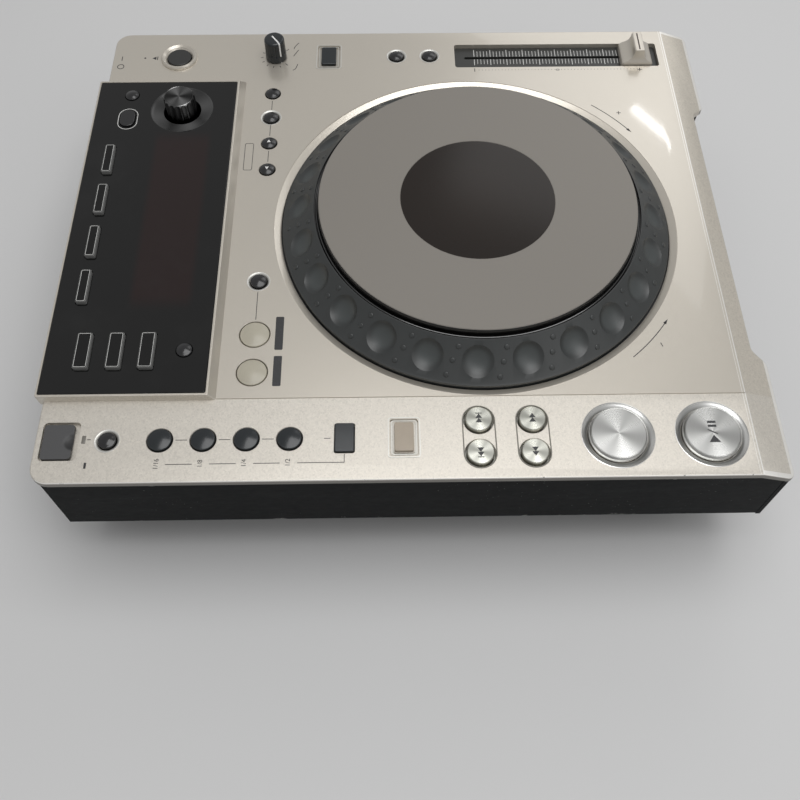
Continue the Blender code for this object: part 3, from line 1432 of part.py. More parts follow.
def rear_opening(x, z, width, height, corner):
    """Cutter through the rear panel, drawn upright at a jack."""
    grown = 2 * GAP
    depth = REAR_PANEL_WALL + 2 * OVERRUN
    mesh = block(
        width + grown, height + grown, corner, ((0, 0), (0, depth)), steps=PLAIN_CORNER_STEPS)
    return moved(facing_rear(mesh), (x, REAR_PANEL_Y - REAR_PANEL_WALL - OVERRUN, z))


def round_rear_opening(x, z, radius):
    depth = REAR_PANEL_WALL + 2 * OVERRUN
    mesh = lofted([level(circle(radius + GAP, JACK_STEPS), height) for height in (0, depth)])
    return moved(facing_rear(mesh), (x, REAR_PANEL_Y - REAR_PANEL_WALL - OVERRUN, z))


def make_rear_panel():
    inner = COVER_INNER_X - GAP
    bottom = TRAY_TOP_Z + GAP
    top = DECK_UNDER_Z - GAP
    section = [(-inner, bottom), (inner, bottom), (inner, top), (-inner, top)]
    sheet = swept(section, REAR_PANEL_Y - REAR_PANEL_WALL, REAR_PANEL_Y)
    panel = piece("rear_panel", sheet, "black_steel")
    openings = [round_rear_opening(x, JACK_Z, JACK_SLEEVE_RADIUS) for x in PHONO_XS]
    openings.append(round_rear_opening(REMOTE_X, JACK_Z, REMOTE_RADIUS))
    openings.append(rear_opening(PORT_X, JACK_Z, PORT_WIDTH, PORT_HEIGHT, PORT_CORNER))
    openings.append(rear_opening(MAINS_X, JACK_Z, INLET_WIDTH, INLET_HEIGHT, INLET_CORNER))
    openings.append(rear_opening(
        SWITCH_X, JACK_Z, SWITCH_WIDTH + 2 * SWITCH_END_GAP, SWITCH_HEIGHT, SWITCH_CORNER))
    cut(panel, openings, "panel_openings")


def make_main_board():
    """Board on posts, with the jacks that pass through the rear panel."""
    rear = REAR_PANEL_Y - REAR_PANEL_WALL - BOARD_REAR_GAP
    front = rear - BOARD_DEPTH
    top = JACK_Z - BOARD_JACK_DROP
    under = top - BOARD_THICKNESS
    centre = (BOARD_X, (rear + front) / 2)
    sheet = block(
        BOARD_WIDTH, BOARD_DEPTH, PORT_CORNER, ((0, under), (0, top)),
        steps=PLAIN_CORNER_STEPS, centre=centre)
    board = piece("main_board", sheet, "circuit_board")
    solids = []
    reach_x = BOARD_WIDTH / 2 - BOARD_POST_INSET
    reach_y = BOARD_DEPTH / 2 - BOARD_POST_INSET
    for side in (-1, 1):
        for end in (-1, 1):
            place = (centre[0] + side * reach_x, centre[1] + end * reach_y)
            solids.append(block(
                BOARD_POST, BOARD_POST, PORT_CORNER,
                ((0, TRAY_FLOOR_Z + GAP), (0, top - BOARD_THICKNESS / 2)),
                steps=PLAIN_CORNER_STEPS, centre=place))
    housing_y = rear - JACK_HOUSING_DEPTH / 2
    root = top - BOARD_THICKNESS / 2
    sleeves = []
    bores = []
    round_jacks = [(x, JACK_SLEEVE_RADIUS, JACK_SLEEVE_LENGTH) for x in PHONO_XS]
    round_jacks.append((REMOTE_X, REMOTE_RADIUS, REMOTE_LENGTH))
    for x, radius, length in round_jacks:
        solids.append(block(
            JACK_HOUSING_WIDTH, JACK_HOUSING_DEPTH, PORT_CORNER,
            ((0, root), (0, JACK_Z + JACK_HOUSING_RISE)),
            steps=PLAIN_CORNER_STEPS, centre=(x, housing_y)))
        tip = REAR_PANEL_Y + length
        start = rear - JACK_HOUSING_DEPTH / 2
        sleeve = lofted([level(circle(radius, JACK_STEPS), height) for height in (0, tip - start)])
        sleeves.append(moved(facing_rear(sleeve), (x, start, JACK_Z)))
        bore_outline = circle(JACK_BORE_RADIUS, JACK_STEPS)
        bore = lofted([level(bore_outline, height) for height in (0, JACK_BORE_DEPTH)])
        bores.append(moved(facing_rear(bore), (x, tip + OVERRUN - JACK_BORE_DEPTH, JACK_Z)))
    port_tip = REAR_PANEL_Y + PORT_LENGTH
    port_start = rear - JACK_HOUSING_DEPTH
    port = block(
        PORT_WIDTH, PORT_HEIGHT, PORT_CORNER, ((0, 0), (0, port_tip - port_start)),
        steps=PLAIN_CORNER_STEPS)
    sleeves.append(moved(facing_rear(port), (PORT_X, port_start, JACK_Z)))
    solids.append(block(
        PORT_WIDTH / 2, JACK_HOUSING_DEPTH / 2, PORT_CORNER, ((0, root), (0, JACK_Z)),
        steps=PLAIN_CORNER_STEPS, centre=(PORT_X, housing_y)))
    cavity = block(
        PORT_CAVITY_WIDTH, PORT_CAVITY_HEIGHT, PORT_CORNER,
        ((0, 0), (0, PORT_CAVITY_DEPTH + OVERRUN)), steps=SMALL_CORNER_STEPS)
    bores.append(moved(facing_rear(cavity), (PORT_X, port_tip - PORT_CAVITY_DEPTH, JACK_Z)))
    add(board, solids, "board_posts_and_housings")
    add(board, sleeves, "jack_sleeves")
    cut(board, bores, "jack_bores")


def make_mains_unit():
    """Shielded mains unit that stands on the tray, with its inlet through the panel."""
    rear = REAR_PANEL_Y - REAR_PANEL_WALL - MAINS_CAN_REAR_GAP
    centre = (MAINS_X, rear - MAINS_CAN_DEPTH / 2)
    top = JACK_Z + MAINS_CAN_RISE
    levels = ((0, TRAY_FLOOR_Z + GAP), (0, top - MAINS_CAN_CORNER / 2), (MAINS_CAN_CORNER / 2, top))
    can = block(
        MAINS_CAN_WIDTH, MAINS_CAN_DEPTH, MAINS_CAN_CORNER, levels,
        steps=PLAIN_CORNER_STEPS, centre=centre)
    unit = piece("mains_unit", can, "zinc_steel")
    tip = REAR_PANEL_Y + INLET_LENGTH
    start = rear - MAINS_CAN_CORNER
    inlet = block(
        INLET_WIDTH, INLET_HEIGHT, INLET_CORNER, ((0, 0), (0, tip - start)),
        steps=PLAIN_CORNER_STEPS)
    add(unit, [moved(facing_rear(inlet), (MAINS_X, start, JACK_Z))], "mains_inlet")
    cavity = block(
        INLET_CAVITY_WIDTH, INLET_CAVITY_HEIGHT, INLET_CAVITY_CORNER,
        ((0, 0), (0, INLET_CAVITY_DEPTH + OVERRUN)), steps=SMALL_CORNER_STEPS)
    cut(unit, [moved(facing_rear(cavity), (MAINS_X, tip - INLET_CAVITY_DEPTH, JACK_Z))], "inlet_cavity")


def make_power_switch():
    """Rocker in the rear panel, tilted to its off side at rest."""
    half = SWITCH_WIDTH / 2
    section = [
        (-half, SWITCH_PROUD),
        (0, SWITCH_PROUD - SWITCH_DISH),
        (half, SWITCH_PROUD),
        (half, 0),
        (half / 2, -SWITCH_DEPTH),
        (-half / 2, -SWITCH_DEPTH),
        (-half, 0),
    ]
    rings = [[(x, y, z) for x, y in section] for z in (-SWITCH_HEIGHT / 2, SWITCH_HEIGHT / 2)]
    place = (SWITCH_X, REAR_PANEL_Y - REAR_PANEL_WALL / 2, JACK_Z)
    rocker = piece("power_switch", lofted(rings), "black_plastic", place)
    rocker.rotation_euler = (0, 0, -SWITCH_TILT)


def make_player():
    clear_scene()
    make_deck()
    make_fascia()
    make_side_covers()
    make_tray()
    make_feet()
    make_jog_wheel()
    make_deck_buttons()
    make_display_glass()
    make_display_keys()
    make_browse_knob()
    make_speed_knob()
    make_tempo_slider()
    make_usb_lid()
    make_drive()
    make_rear_panel()
    make_main_board()
    make_mains_unit()
    make_power_switch()


make_player()
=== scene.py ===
"""Dresses the tabletop disc player: its fine shapes, finishes, printed marks, light and camera."""
import math
from contextlib import contextmanager

import bmesh
import bpy
from bpy.props import FloatProperty, FloatVectorProperty, IntProperty, PointerProperty
from mathutils import Matrix, Quaternion, Vector


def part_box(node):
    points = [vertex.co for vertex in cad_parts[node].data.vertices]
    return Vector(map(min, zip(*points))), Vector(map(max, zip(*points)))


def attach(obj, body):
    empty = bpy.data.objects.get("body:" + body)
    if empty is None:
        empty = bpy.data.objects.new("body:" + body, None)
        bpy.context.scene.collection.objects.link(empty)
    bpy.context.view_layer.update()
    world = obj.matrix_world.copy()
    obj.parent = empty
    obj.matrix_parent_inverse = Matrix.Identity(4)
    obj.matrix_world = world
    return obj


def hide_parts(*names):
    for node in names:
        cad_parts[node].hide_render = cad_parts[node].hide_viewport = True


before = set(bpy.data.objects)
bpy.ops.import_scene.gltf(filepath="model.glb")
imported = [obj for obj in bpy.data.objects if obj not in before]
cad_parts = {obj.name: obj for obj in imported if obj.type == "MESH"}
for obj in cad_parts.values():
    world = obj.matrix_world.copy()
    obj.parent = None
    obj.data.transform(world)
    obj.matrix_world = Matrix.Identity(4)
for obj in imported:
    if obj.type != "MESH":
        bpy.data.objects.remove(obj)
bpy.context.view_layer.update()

bl_info = {
    "name": "Tabletop Disc Player",
    "version": (1, 0, 0),
    "blender": (4, 5, 0),
    "location": "View3D > Sidebar > Disc Player",
    "description": "Builds the player's visible pieces over its packed frame",
    "category": "Object",
}

CASE = "case"
TURN = 2 * math.pi
INK = 0.00004
SPECK = 0.000001

# Levels and lines of the case that many pieces share
DECK_Z = 0.0890
DECK_UNDER_Z = 0.0858
GLASS_Z = 0.0936
JOG_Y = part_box("jog_plate")[0].y + 0.0838
NOSE_Y = -0.1785
BEVEL_Y = -0.16165
DECK_REAR_Y = 0.17565
REAR_Y = 0.1785
REAR_PANEL_Y = 0.17095
JACK_Z = 0.0620
DISPLAY_Y = 0.0932
COLUMN_X = 0.1308
DOWN_SLOPE = 0.0056 / 0.01685
SEAM_X = -0.1089
DECK_WIDTH = 0.305

# The nose's rise between two points in plan, drawn in equal bends
NOTCH_X = 0.0810
NOTCH_REACH = 0.0095
NOTCH_DEPTH = 0.0070
NOTCH_BENDS = 8

# Display frame and how far its walls lean inward on each side
DISPLAY_WIDTH = 0.2190
FRAME_FRONT = 0.0032
FRAME_REAR = 0.0006
FRAME_LEFT = 0.0004
FRAME_RIGHT = 0.0038
GLASS_THICK = 0.0026

# Tempo scale: how far its slot lies from the column's middle, and its ticks
SLOT_SHIFT = 0.0012
TICKS = 51
TICK_Y = -0.0446
TICK_PITCH = 0.0020


def middle(node):
    """Centre of a node in plan, and its top."""
    low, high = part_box(node)
    return Vector(((low.x + high.x) / 2, (low.y + high.y) / 2, high.z))


# Sizes and colours that a user would change

def length(text, value):
    return FloatProperty(name=text, description=text, default=value, unit="LENGTH", precision=5)


def paint(text, value):
    return FloatVectorProperty(name=text, description=text, default=value, size=3, subtype="COLOR")


class CaseSizes(bpy.types.PropertyGroup):
    edge: length("Rounding of the deck's upper edge", 0.0008)
    nose_corner: length("Front corner radius of the deck", 0.0040)
    rear_corner: length("Rear corner radius of the deck", 0.0090)
    seam: length("Width of the seam in the deck", 0.0004)
    display_rise: length("Rise of the display frame", 0.0045)
    display_rim: length("Rim round the glass", 0.0013)


class JogSizes(bpy.types.PropertyGroup):
    radius: length("Radius of the jog ring", 0.1037)
    inner_radius: length("Radius of the ring's inner land", 0.0862)
    dimple_radius: length("Radius of a finger dimple", 0.0082)
    dimple_depth: length("Depth of a finger dimple", 0.0026)
    dimples: IntProperty(name="Dimples", description="Finger dimples round the ring", default=24)
    plate_radius: length("Radius of the touch plate", 0.0838)
    window_radius: length("Radius of the plate's window", 0.0404)


class ButtonSizes(bpy.types.PropertyGroup):
    clearance: length("Gap round a button", 0.0004)
    flange: length("Hidden flange of a button", 0.0009)
    edge: length("Rounding of a button's edge", 0.0005)
    cap_edge: length("Rounding of a square cap", 0.0004)


class Colours(bpy.types.PropertyGroup):
    silver: paint("Silver of the deck", (0.615, 0.572, 0.500))
    strip: paint("Silver of the left strip", (0.655, 0.617, 0.553))
    cover: paint("Black of the side covers", (0.0040, 0.0048, 0.0052))
    ring: paint("Slate of the jog ring", (0.019, 0.022, 0.022))
    plate: paint("Grey of the touch plate", (0.235, 0.218, 0.195))
    window: paint("Brown of the plate's window", (0.015, 0.0105, 0.0080))
    glass: paint("Black of the display glass", (0.006, 0.006, 0.006))
    smoke: paint("Brown of the display's window", (0.014, 0.006, 0.0055))
    slate: paint("Slate of the keys", (0.011, 0.0145, 0.017))
    pale: paint("Beige of the lit keys", (0.44, 0.41, 0.33))
    grey: paint("Grey of the display's keys", (0.20, 0.20, 0.195))
    metal: paint("Spun aluminium", (0.54, 0.54, 0.525))
    mark: paint("Dark printed marks", (0.030, 0.030, 0.032))
    bright: paint("Pale printed marks", (0.62, 0.62, 0.60))
    lit: paint("Warm grey of the reverse key", (0.39, 0.33, 0.26))
    floor: paint("Floor", (0.72, 0.72, 0.72))


# Shader maths

class Wire:
    """A value inside a finish; sums on it add Math nodes."""

    def __init__(self, finish, socket):
        self.finish = finish
        self.socket = socket

    def maths(self, operation, *values):
        return self.finish.node("ShaderNodeMath", {"operation": operation}, dict(enumerate(values)))

    def __add__(self, other):
        return self.maths("ADD", self, other)

    def __mul__(self, other):
        return self.maths("MULTIPLY", self, other)

    def __sub__(self, other):
        return self.maths("SUBTRACT", self, other)

    def __rsub__(self, other):
        return self.maths("SUBTRACT", other, self)

    def __truediv__(self, other):
        return self.maths("DIVIDE", self, other)

    def __pow__(self, other):
        return self.maths("POWER", self, other)

    def __abs__(self):
        return self.maths("ABSOLUTE", self)

    def cosine(self):
        return self.maths("COSINE", self)

    def over(self, edge):
        return self.maths("GREATER_THAN", self, edge)

    def under(self, edge):
        return self.maths("LESS_THAN", self, edge)

    def ramp(self, low, high, at_low=0.0, at_high=1.0):
        """Spreads the stretch from low to high smoothly over two values."""
        return self.finish.node(
            "ShaderNodeMapRange", {"interpolation_type": "SMOOTHSTEP"},
            {"Value": self, "From Min": low, "From Max": high, "To Min": at_low, "To Max": at_high})

    __radd__ = __add__
    __rmul__ = __mul__


class Finish:
    """A material in the making."""

    def __init__(self, name, metallic=0.0, roughness=0.5, coat=0.0, specular=0.5):
        self.material = bpy.data.materials.new(name)
        self.material.use_nodes = True
        self.tree = self.material.node_tree
        self.shader = self.tree.nodes["Principled BSDF"]
        for socket, value in (
                ("Metallic", metallic), ("Roughness", roughness), ("Coat Weight", coat),
                ("Coat Roughness", 0.08), ("Specular IOR Level", specular)):
            self.shader.inputs[socket].default_value = value

    def node(self, kind, settings=None, values=None, output=0):
        made = self.tree.nodes.new(kind)
        for name, value in (settings or {}).items():
            setattr(made, name, value)
        for socket, value in (values or {}).items():
            self.feed(made.inputs[socket], value)
        return Wire(self, made.outputs[output])

    def feed(self, socket, value):
        if isinstance(value, Wire):
            self.tree.links.new(value.socket, socket)
        elif socket.type == "RGBA" and len(value) == 3:
            socket.default_value = (*value, 1.0)
        else:
            socket.default_value = value

    def put(self, **values):
        """Feeds the shader: base for Base Color, and so on."""
        names = {"base": "Base Color", "rough": "Roughness", "metal": "Metallic", "coat": "Coat Weight"}
        for name, value in values.items():
            self.feed(self.shader.inputs[names[name]], value)
        return self

    def spot(self, centre=(0, 0, 0)):
        """Object coordinates counted from a centre."""
        if not any(centre):
            return self.node("ShaderNodeTexCoord", output="Object")
        return self.node(
            "ShaderNodeMapping", None, {"Vector": self.spot(), "Location": [-c for c in centre]})

    def axes(self, centre=(0, 0, 0)):
        return self.apart(self.spot(centre))

    def apart(self, vector):
        """The three parts of a vector."""
        split = self.tree.nodes.new("ShaderNodeSeparateXYZ")
        self.feed(split.inputs[0], vector)
        return [Wire(self, socket) for socket in split.outputs]

    def radius(self, centre):
        x, y, _ = self.axes(centre)
        return self.node("ShaderNodeMath", {"operation": "SQRT"}, {0: x * x + y * y})

    def noise(self, scale, detail=2.0, rough=0.5, stretch=(1, 1, 1)):
        spot = self.spot()
        if stretch != (1, 1, 1):
            spot = self.node("ShaderNodeMapping", None, {"Vector": spot, "Scale": stretch})
        return self.node(
            "ShaderNodeTexNoise", None,
            {"Vector": spot, "Scale": scale, "Detail": detail, "Roughness": rough})

    def cells(self, scale):
        """A random value for each small cell."""
        colour = self.node(
            "ShaderNodeTexVoronoi", None, {"Vector": self.spot(), "Scale": scale}, output="Color")
        return self.node("ShaderNodeSeparateColor", None, {0: colour})

    def blend(self, mask, first, second):
        """The first colour where the mask is 0 and the second where it is 1."""
        return self.node("ShaderNodeMix", {"data_type": "RGBA"}, {0: mask, 6: first, 7: second}, output=2)

    def largest(self, first, second):
        return self.node("ShaderNodeMath", {"operation": "MAXIMUM"}, {0: first, 1: second})

    def scaled(self, colour, amount):
        return self.node("ShaderNodeVectorMath", {"operation": "SCALE"}, {0: colour, "Scale": amount})

    def highlight_fans(self, centre, strong=0.17, weak=2.1):
        """Painted highlight: bright sectors by angle round a centre, two wide ones and two fainter ones, as lit
        lathe-turned metal shows them.
        """
        x, y, _ = self.axes((*centre, 0))
        angle = self.node("ShaderNodeMath", {"operation": "ARCTAN2"}, {0: y, 1: x})
        wide = abs((angle - strong).cosine()) ** 7.0
        faint = abs((angle - weak).cosine()) ** 9.0
        return wide + faint * 0.6

    def hollow(self):
        """1 in a finger dimple, where the surface lies below the ring's cone."""
        sizes = bpy.context.scene.player_jog
        steep = 0.0141 / (sizes.radius - 0.0012 - sizes.inner_radius)
        reach = self.radius((0, JOG_Y, 0))
        cone = (sizes.radius - 0.0012 - reach) * steep + (DECK_Z + 0.0006)
        return (cone - self.axes()[2]).ramp(0.0009, 0.0028) * reach.over(sizes.inner_radius + 0.0008)

    def facing_up(self):
        return self.apart(self.node("ShaderNodeNewGeometry", output="True Normal"))[2]

    def bump(self, height, distance, strength=1.0):
        normal = self.node(
            "ShaderNodeBump", None, {"Height": height, "Distance": distance, "Strength": strength})
        self.feed(self.shader.inputs["Normal"], normal)
        return self


def shade(colour, amount):
    return tuple(min(c * amount, 1.0) for c in colour)


MADE = {}


def once(maker):
    """Makes each finish one time and hands it out after that."""
    def give(*details):
        key = (maker.__name__,) + details
        if key not in MADE:
            MADE[key] = maker(*details).material
        return MADE[key]
    return give


def tints():
    return bpy.context.scene.player_colours


@once
def silver_paint():
    """Satin silver with fine flakes, coarser on the left strip and the nose."""
    c = tints()
    finish = Finish("silver_paint", metallic=0.55, roughness=0.36)
    finish.shader.inputs["Coat Roughness"].default_value = 0.045
    x, y, z = finish.axes()
    strip = x.under(SEAM_X)
    nose = y.under(BEVEL_Y - 0.0004)
    coarse = finish.largest(strip, nose)
    flakes = finish.cells(1500.0)
    fine = finish.cells(3200.0)
    cloud = finish.noise(9.0, 2.0)
    base = finish.blend(strip, tuple(c.silver), tuple(c.strip))
    sparkle = (flakes - 0.5) * (0.04 + 0.34 * coarse) + (fine - 0.5) * 0.12 + (cloud - 0.5) * 0.08 + 0.5
    light = finish.scaled(base, 1.35)
    deep = finish.scaled(base, 0.52)
    base = finish.blend(sparkle.ramp(0.5, 1.0, 0.0, 0.6), base, light)
    base = finish.blend(sparkle.ramp(0.5, 0.0, 0.0, 0.6), base, deep)
    up = finish.facing_up()
    outer = finish.largest(abs(x).over(0.1500), y.under(-0.1765))
    # Painted shade: the steep walls along the deck's outer edge are darkened.
    wall = up.ramp(0.55, 0.30) * outer
    base = finish.blend(wall * 0.8, base, (0.15, 0.145, 0.135))
    # Painted highlight: the outer rounded edge is painted near-white, broken up by a wear noise that also
    # places the dark paint chips.
    wear_and_highlight_noise = finish.noise(260.0, 4.0, 0.7)
    highlight_and_chip_edge = up.ramp(0.45, 0.60) * up.ramp(0.985, 0.95) * outer
    base = finish.blend(highlight_and_chip_edge * (0.5 + 0.5 * wear_and_highlight_noise), base, (0.92, 0.91, 0.88))
    chips = (wear_and_highlight_noise + highlight_and_chip_edge * 0.16).over(0.83) * outer
    base = finish.blend(chips * 0.7, base, (0.12, 0.12, 0.115))
    # Painted highlight: two bright lines along the nose's bend.
    fold_highlight = abs(y - BEVEL_Y).under(0.00028) + abs(y - (BEVEL_Y + 0.0013)).under(0.00012)
    base = finish.blend(fold_highlight * up.over(0.9) * 0.8, base, (0.92, 0.91, 0.88))
    rim = finish.radius((0, JOG_Y, 0)).under(0.1086) * z.over(0.0860)
    finish.put(base=base, rough=0.31 + 0.10 * coarse + (flakes - 0.5) * 0.06,
               metal=0.55 + 0.15 * rim, coat=0.75 * (1 - coarse))
    return finish.bump(finish.noise(2400.0, 1.0), 0.00004, 0.2)


@once
def black_cover():
    """Moulded black with pale chips along its upper and lower edges."""
    c = tints()
    finish = Finish("black_cover", roughness=0.5, specular=0.10)
    x, y, z = finish.axes()
    low = z.ramp(0.0430, 0.0393)
    high = z.ramp(0.0815, 0.0850)
    edge = finish.largest(low, high)
    scuff = finish.noise(520.0, 5.0, 0.65, (1, 0.45, 1))
    patch = finish.noise(30.0, 2.0)
    chips = (scuff + (patch - 0.5) * 0.45 + edge * 0.10).over(0.705) * edge.over(0.08)
    specks = (finish.noise(900.0, 1.0) + (patch - 0.5) * 0.3).over(0.79)
    chips = finish.largest(chips, specks * 0.5)
    haze = finish.noise(60.0, 4.0, 0.6, (1, 0.3, 2.5)).ramp(0.50, 0.78, 0.0, 0.10)
    base = finish.blend(haze, tuple(c.cover), (0.055, 0.060, 0.062))
    finish.put(base=finish.blend(chips, base, (0.30, 0.30, 0.285)), rough=0.45 + 0.2 * scuff)
    return finish.bump(finish.noise(2600.0, 2.0), 0.00006, 0.3)


@once
def black_steel():
    finish = Finish("black_steel", metallic=0.35, roughness=0.5)
    grain = finish.noise(1500.0, 3.0)
    base = finish.blend(grain, (0.016, 0.016, 0.018), (0.036, 0.036, 0.038))
    finish.put(base=base, rough=0.42 + grain * 0.2)
    return finish.bump(grain, 0.00005, 0.3)


@once
def jog_rubber():
    """Soft slate plastic with patches of dust, and painted highlight lightening its finger dimples."""
    c = tints()
    finish = Finish("jog_rubber", roughness=0.5, specular=0.8)
    grain = finish.noise(1900.0, 3.0)
    dust = finish.noise(70.0, 4.0, 0.6).ramp(0.45, 0.75, 0.0, 0.35)
    base = finish.blend(dust, tuple(c.ring), shade(c.ring, 1.6))
    # Painted highlight: the finger dimples are lightened where they lie below the ring's cone.
    base = finish.blend(finish.hollow() * 0.8, base, shade(c.ring, 2.6))
    land = finish.radius((0, JOG_Y, 0)).under(0.0859)
    base = finish.blend(land, base, (0.011, 0.011, 0.011))
    finish.put(base=base, rough=0.36 + grain * 0.12 - 0.22 * land, coat=land)
    return finish.bump(grain, 0.00003, 0.25)


@once
def jog_plate():
    """Smooth grey film with a smoked window in its middle and a black edge."""
    c = tints()
    finish = Finish("jog_plate", roughness=0.42, specular=0.35)
    sizes = bpy.context.scene.player_jog
    r = finish.radius((0, JOG_Y, 0))
    window = r.under(sizes.window_radius)
    edge = r.over(sizes.plate_radius - 0.0006)
    film = finish.noise(1200.0, 2.0)
    soft = finish.noise(7.0, 1.0)
    plate = finish.blend(soft, shade(c.plate, 0.94), shade(c.plate, 1.06))
    plate = finish.blend((film - 0.5) * 0.12 + 0.1, plate, shade(c.plate, 1.1))
    plate = finish.blend(r.ramp(sizes.window_radius + 0.0004, sizes.window_radius, 0.0, 0.6), plate,
                         shade(c.plate, 0.55))
    smoke = finish.blend(r.ramp(0.0, 0.040), shade(c.window, 1.25), tuple(c.window))
    base = finish.blend(edge, finish.blend(window, plate, smoke), (0.010, 0.010, 0.010))
    finish.put(base=base, rough=0.42 - 0.26 * window - 0.28 * edge + (film - 0.5) * 0.03)
    return finish


@once
def black_glass():
    """Gloss black window, smoked brown over the display's picture; in the browse knob's dish a grey tone with
    painted highlight sectors.
    """
    c = tints()
    finish = Finish("black_glass", roughness=0.05, specular=0.45)
    x, y, _ = finish.axes((0.0025, 0.125, 0))
    inside = abs(x).ramp(0.0640, 0.0520) * abs(y).ramp(0.0175, 0.0125)
    knob = middle("browse_knob")
    dish = finish.radius((knob.x, knob.y, 0)).under(0.0179)
    smudge = finish.noise(26.0, 5.0, 0.62)
    base = finish.blend(inside, tuple(c.glass), tuple(c.smoke))
    base = finish.blend(smudge.ramp(0.5, 0.8, 0.0, 0.10), base, (0.05, 0.05, 0.05))
    # Painted highlight: bright sectors by angle over the dish's own grey tone.
    highlight_fans = finish.highlight_fans((knob.x, knob.y), 0.35, 1.9)
    dish_tone_and_highlight = finish.blend(highlight_fans, (0.016, 0.016, 0.016), (0.10, 0.10, 0.10))
    base = finish.blend(dish, base, dish_tone_and_highlight)
    finish.put(base=base, rough=0.035 + 0.05 * smudge + 0.20 * dish)
    return finish


@once
def plain_plastic(name, tint, roughness, coat):
    """A moulded plastic with its fine grain and slight unevenness."""
    finish = Finish(name, roughness=roughness, coat=coat)
    grain = finish.noise(1700.0, 3.0)
    soft = finish.noise(120.0, 2.0)
    base = finish.blend(soft, shade(tint, 0.88), shade(tint, 1.12))
    base = finish.blend(grain * 0.25, base, shade(tint, 1.3))
    finish.put(base=base, rough=roughness + (grain - 0.5) * 0.12)
    return finish.bump(grain, 0.00002, 0.2)


def black_plastic():
    return plain_plastic("black_plastic", (0.011, 0.011, 0.012), 0.20, 0.3)


def slate_plastic():
    return plain_plastic("slate_plastic", tuple(tints().slate), 0.24, 0.2)


def pale_plastic():
    return plain_plastic("pale_plastic", tuple(tints().pale), 0.36, 0.15)


@once
def key_plastic():
    """Grey key bodies whose upper faces are printed dark."""
    c = tints()
    finish = Finish("grey_plastic", roughness=0.3, specular=0.2)
    up = finish.facing_up().over(0.97)
    grain = finish.noise(1500.0, 2.0)
    side = finish.blend(grain, shade(c.grey, 0.9), shade(c.grey, 1.1))
    top = finish.blend(grain, (0.009, 0.009, 0.009), (0.013, 0.013, 0.013))
    finish.put(base=finish.blend(up, side, top), rough=0.34 + 0.04 * up)
    return finish.bump(grain, 0.00002, 0.2)


@once
def lid_plastic():
    """Grey cover plastic, with painted shade darkening its finger scoop."""
    finish = Finish("lid_plastic", roughness=0.42)
    lid = middle("usb_lid")
    grain = finish.noise(1700.0, 3.0)
    # Painted shade: the finger scoop is darkened below the lid's top.
    hollow = finish.axes()[2].ramp(lid.z - 0.0001, lid.z - 0.0009)
    base = finish.blend(grain, (0.066, 0.066, 0.068), (0.082, 0.082, 0.084))
    finish.put(base=finish.blend(hollow, base, (0.018, 0.018, 0.019)), rough=0.38 + grain * 0.1)
    return finish.bump(grain, 0.00002, 0.2)


@once
def spun_metal(name, centre, tint, low, high, strong=0.17):
    """Lathe-turned metal: fine rings, and painted highlight and shade as bright and dark sectors by angle."""
    finish = Finish(name, metallic=1.0, roughness=0.27)
    r = finish.radius((*centre, 0))
    rings = finish.node(
        "ShaderNodeTexNoise", {"noise_dimensions": "1D"}, {"W": r, "Scale": 3600.0, "Detail": 2.0})
    highlight_fans = finish.highlight_fans(centre, strong, strong + 1.93)
    # Painted highlight and shade: the tint is lightened and darkened by angle round the centre.
    base = finish.blend(highlight_fans + (rings - 0.5) * 0.10, shade(tint, low), shade(tint, high))
    finish.put(base=base, rough=0.30 - 0.08 * highlight_fans + 0.06 * rings)
    return finish.bump(rings, 0.00002, 0.15)


@once
def bright_trim():
    """Plated edge lines and small rings."""
    finish = Finish("bright_trim", metallic=0.6, roughness=0.35)
    grain = finish.noise(900.0, 2.0)
    finish.put(base=finish.blend(grain, (0.62, 0.61, 0.57), (0.76, 0.75, 0.71)), rough=0.30 + grain * 0.12)
    return finish


@once
def foot_rubber():
    finish = Finish("foot_rubber", roughness=0.8)
    grain = finish.noise(900.0, 4.0)
    base = finish.blend(grain, (0.012, 0.012, 0.012), (0.030, 0.030, 0.030))
    finish.put(base=base, rough=0.7 + grain * 0.2)
    return finish.bump(grain, 0.0001, 0.4)


@once
def zinc_steel():
    """Plated sheet with its faint crystal pattern."""
    finish = Finish("zinc_steel", metallic=1.0, roughness=0.4)
    spangle = finish.cells(160.0)
    base = finish.blend(spangle, (0.48, 0.49, 0.50), (0.62, 0.63, 0.64))
    finish.put(base=base, rough=0.30 + spangle * 0.18)
    return finish.bump(finish.noise(1400.0, 2.0), 0.00002, 0.2)


def drive_plastic():
    return plain_plastic("drive_plastic", (0.030, 0.030, 0.033), 0.5, 0.0)


@once
def circuit_board():
    """Green board with darker copper tracks under its lacquer."""
    finish = Finish("circuit_board", roughness=0.35, coat=0.3)
    x, y, z = finish.axes()
    wander = finish.noise(40.0, 1.0) * 0.006
    lanes = finish.node("ShaderNodeMath", {"operation": "SINE"}, {0: (x + wander) * 2600.0}).over(0.35)
    blocks = finish.noise(55.0, 0.0).over(0.52)
    housing = z.over(JACK_Z - 0.0083)
    sleeve = y.over(REAR_PANEL_Y - 0.0010)
    board = finish.blend(lanes * blocks, (0.015, 0.085, 0.035), (0.020, 0.14, 0.055))
    parts = finish.blend(sleeve, (0.015, 0.015, 0.016), (0.62, 0.61, 0.58))
    finish.put(base=finish.blend(finish.largest(housing, sleeve), board, parts), metal=sleeve,
               rough=0.35 - 0.08 * sleeve)
    return finish.bump(lanes * blocks, 0.00005, 0.4)


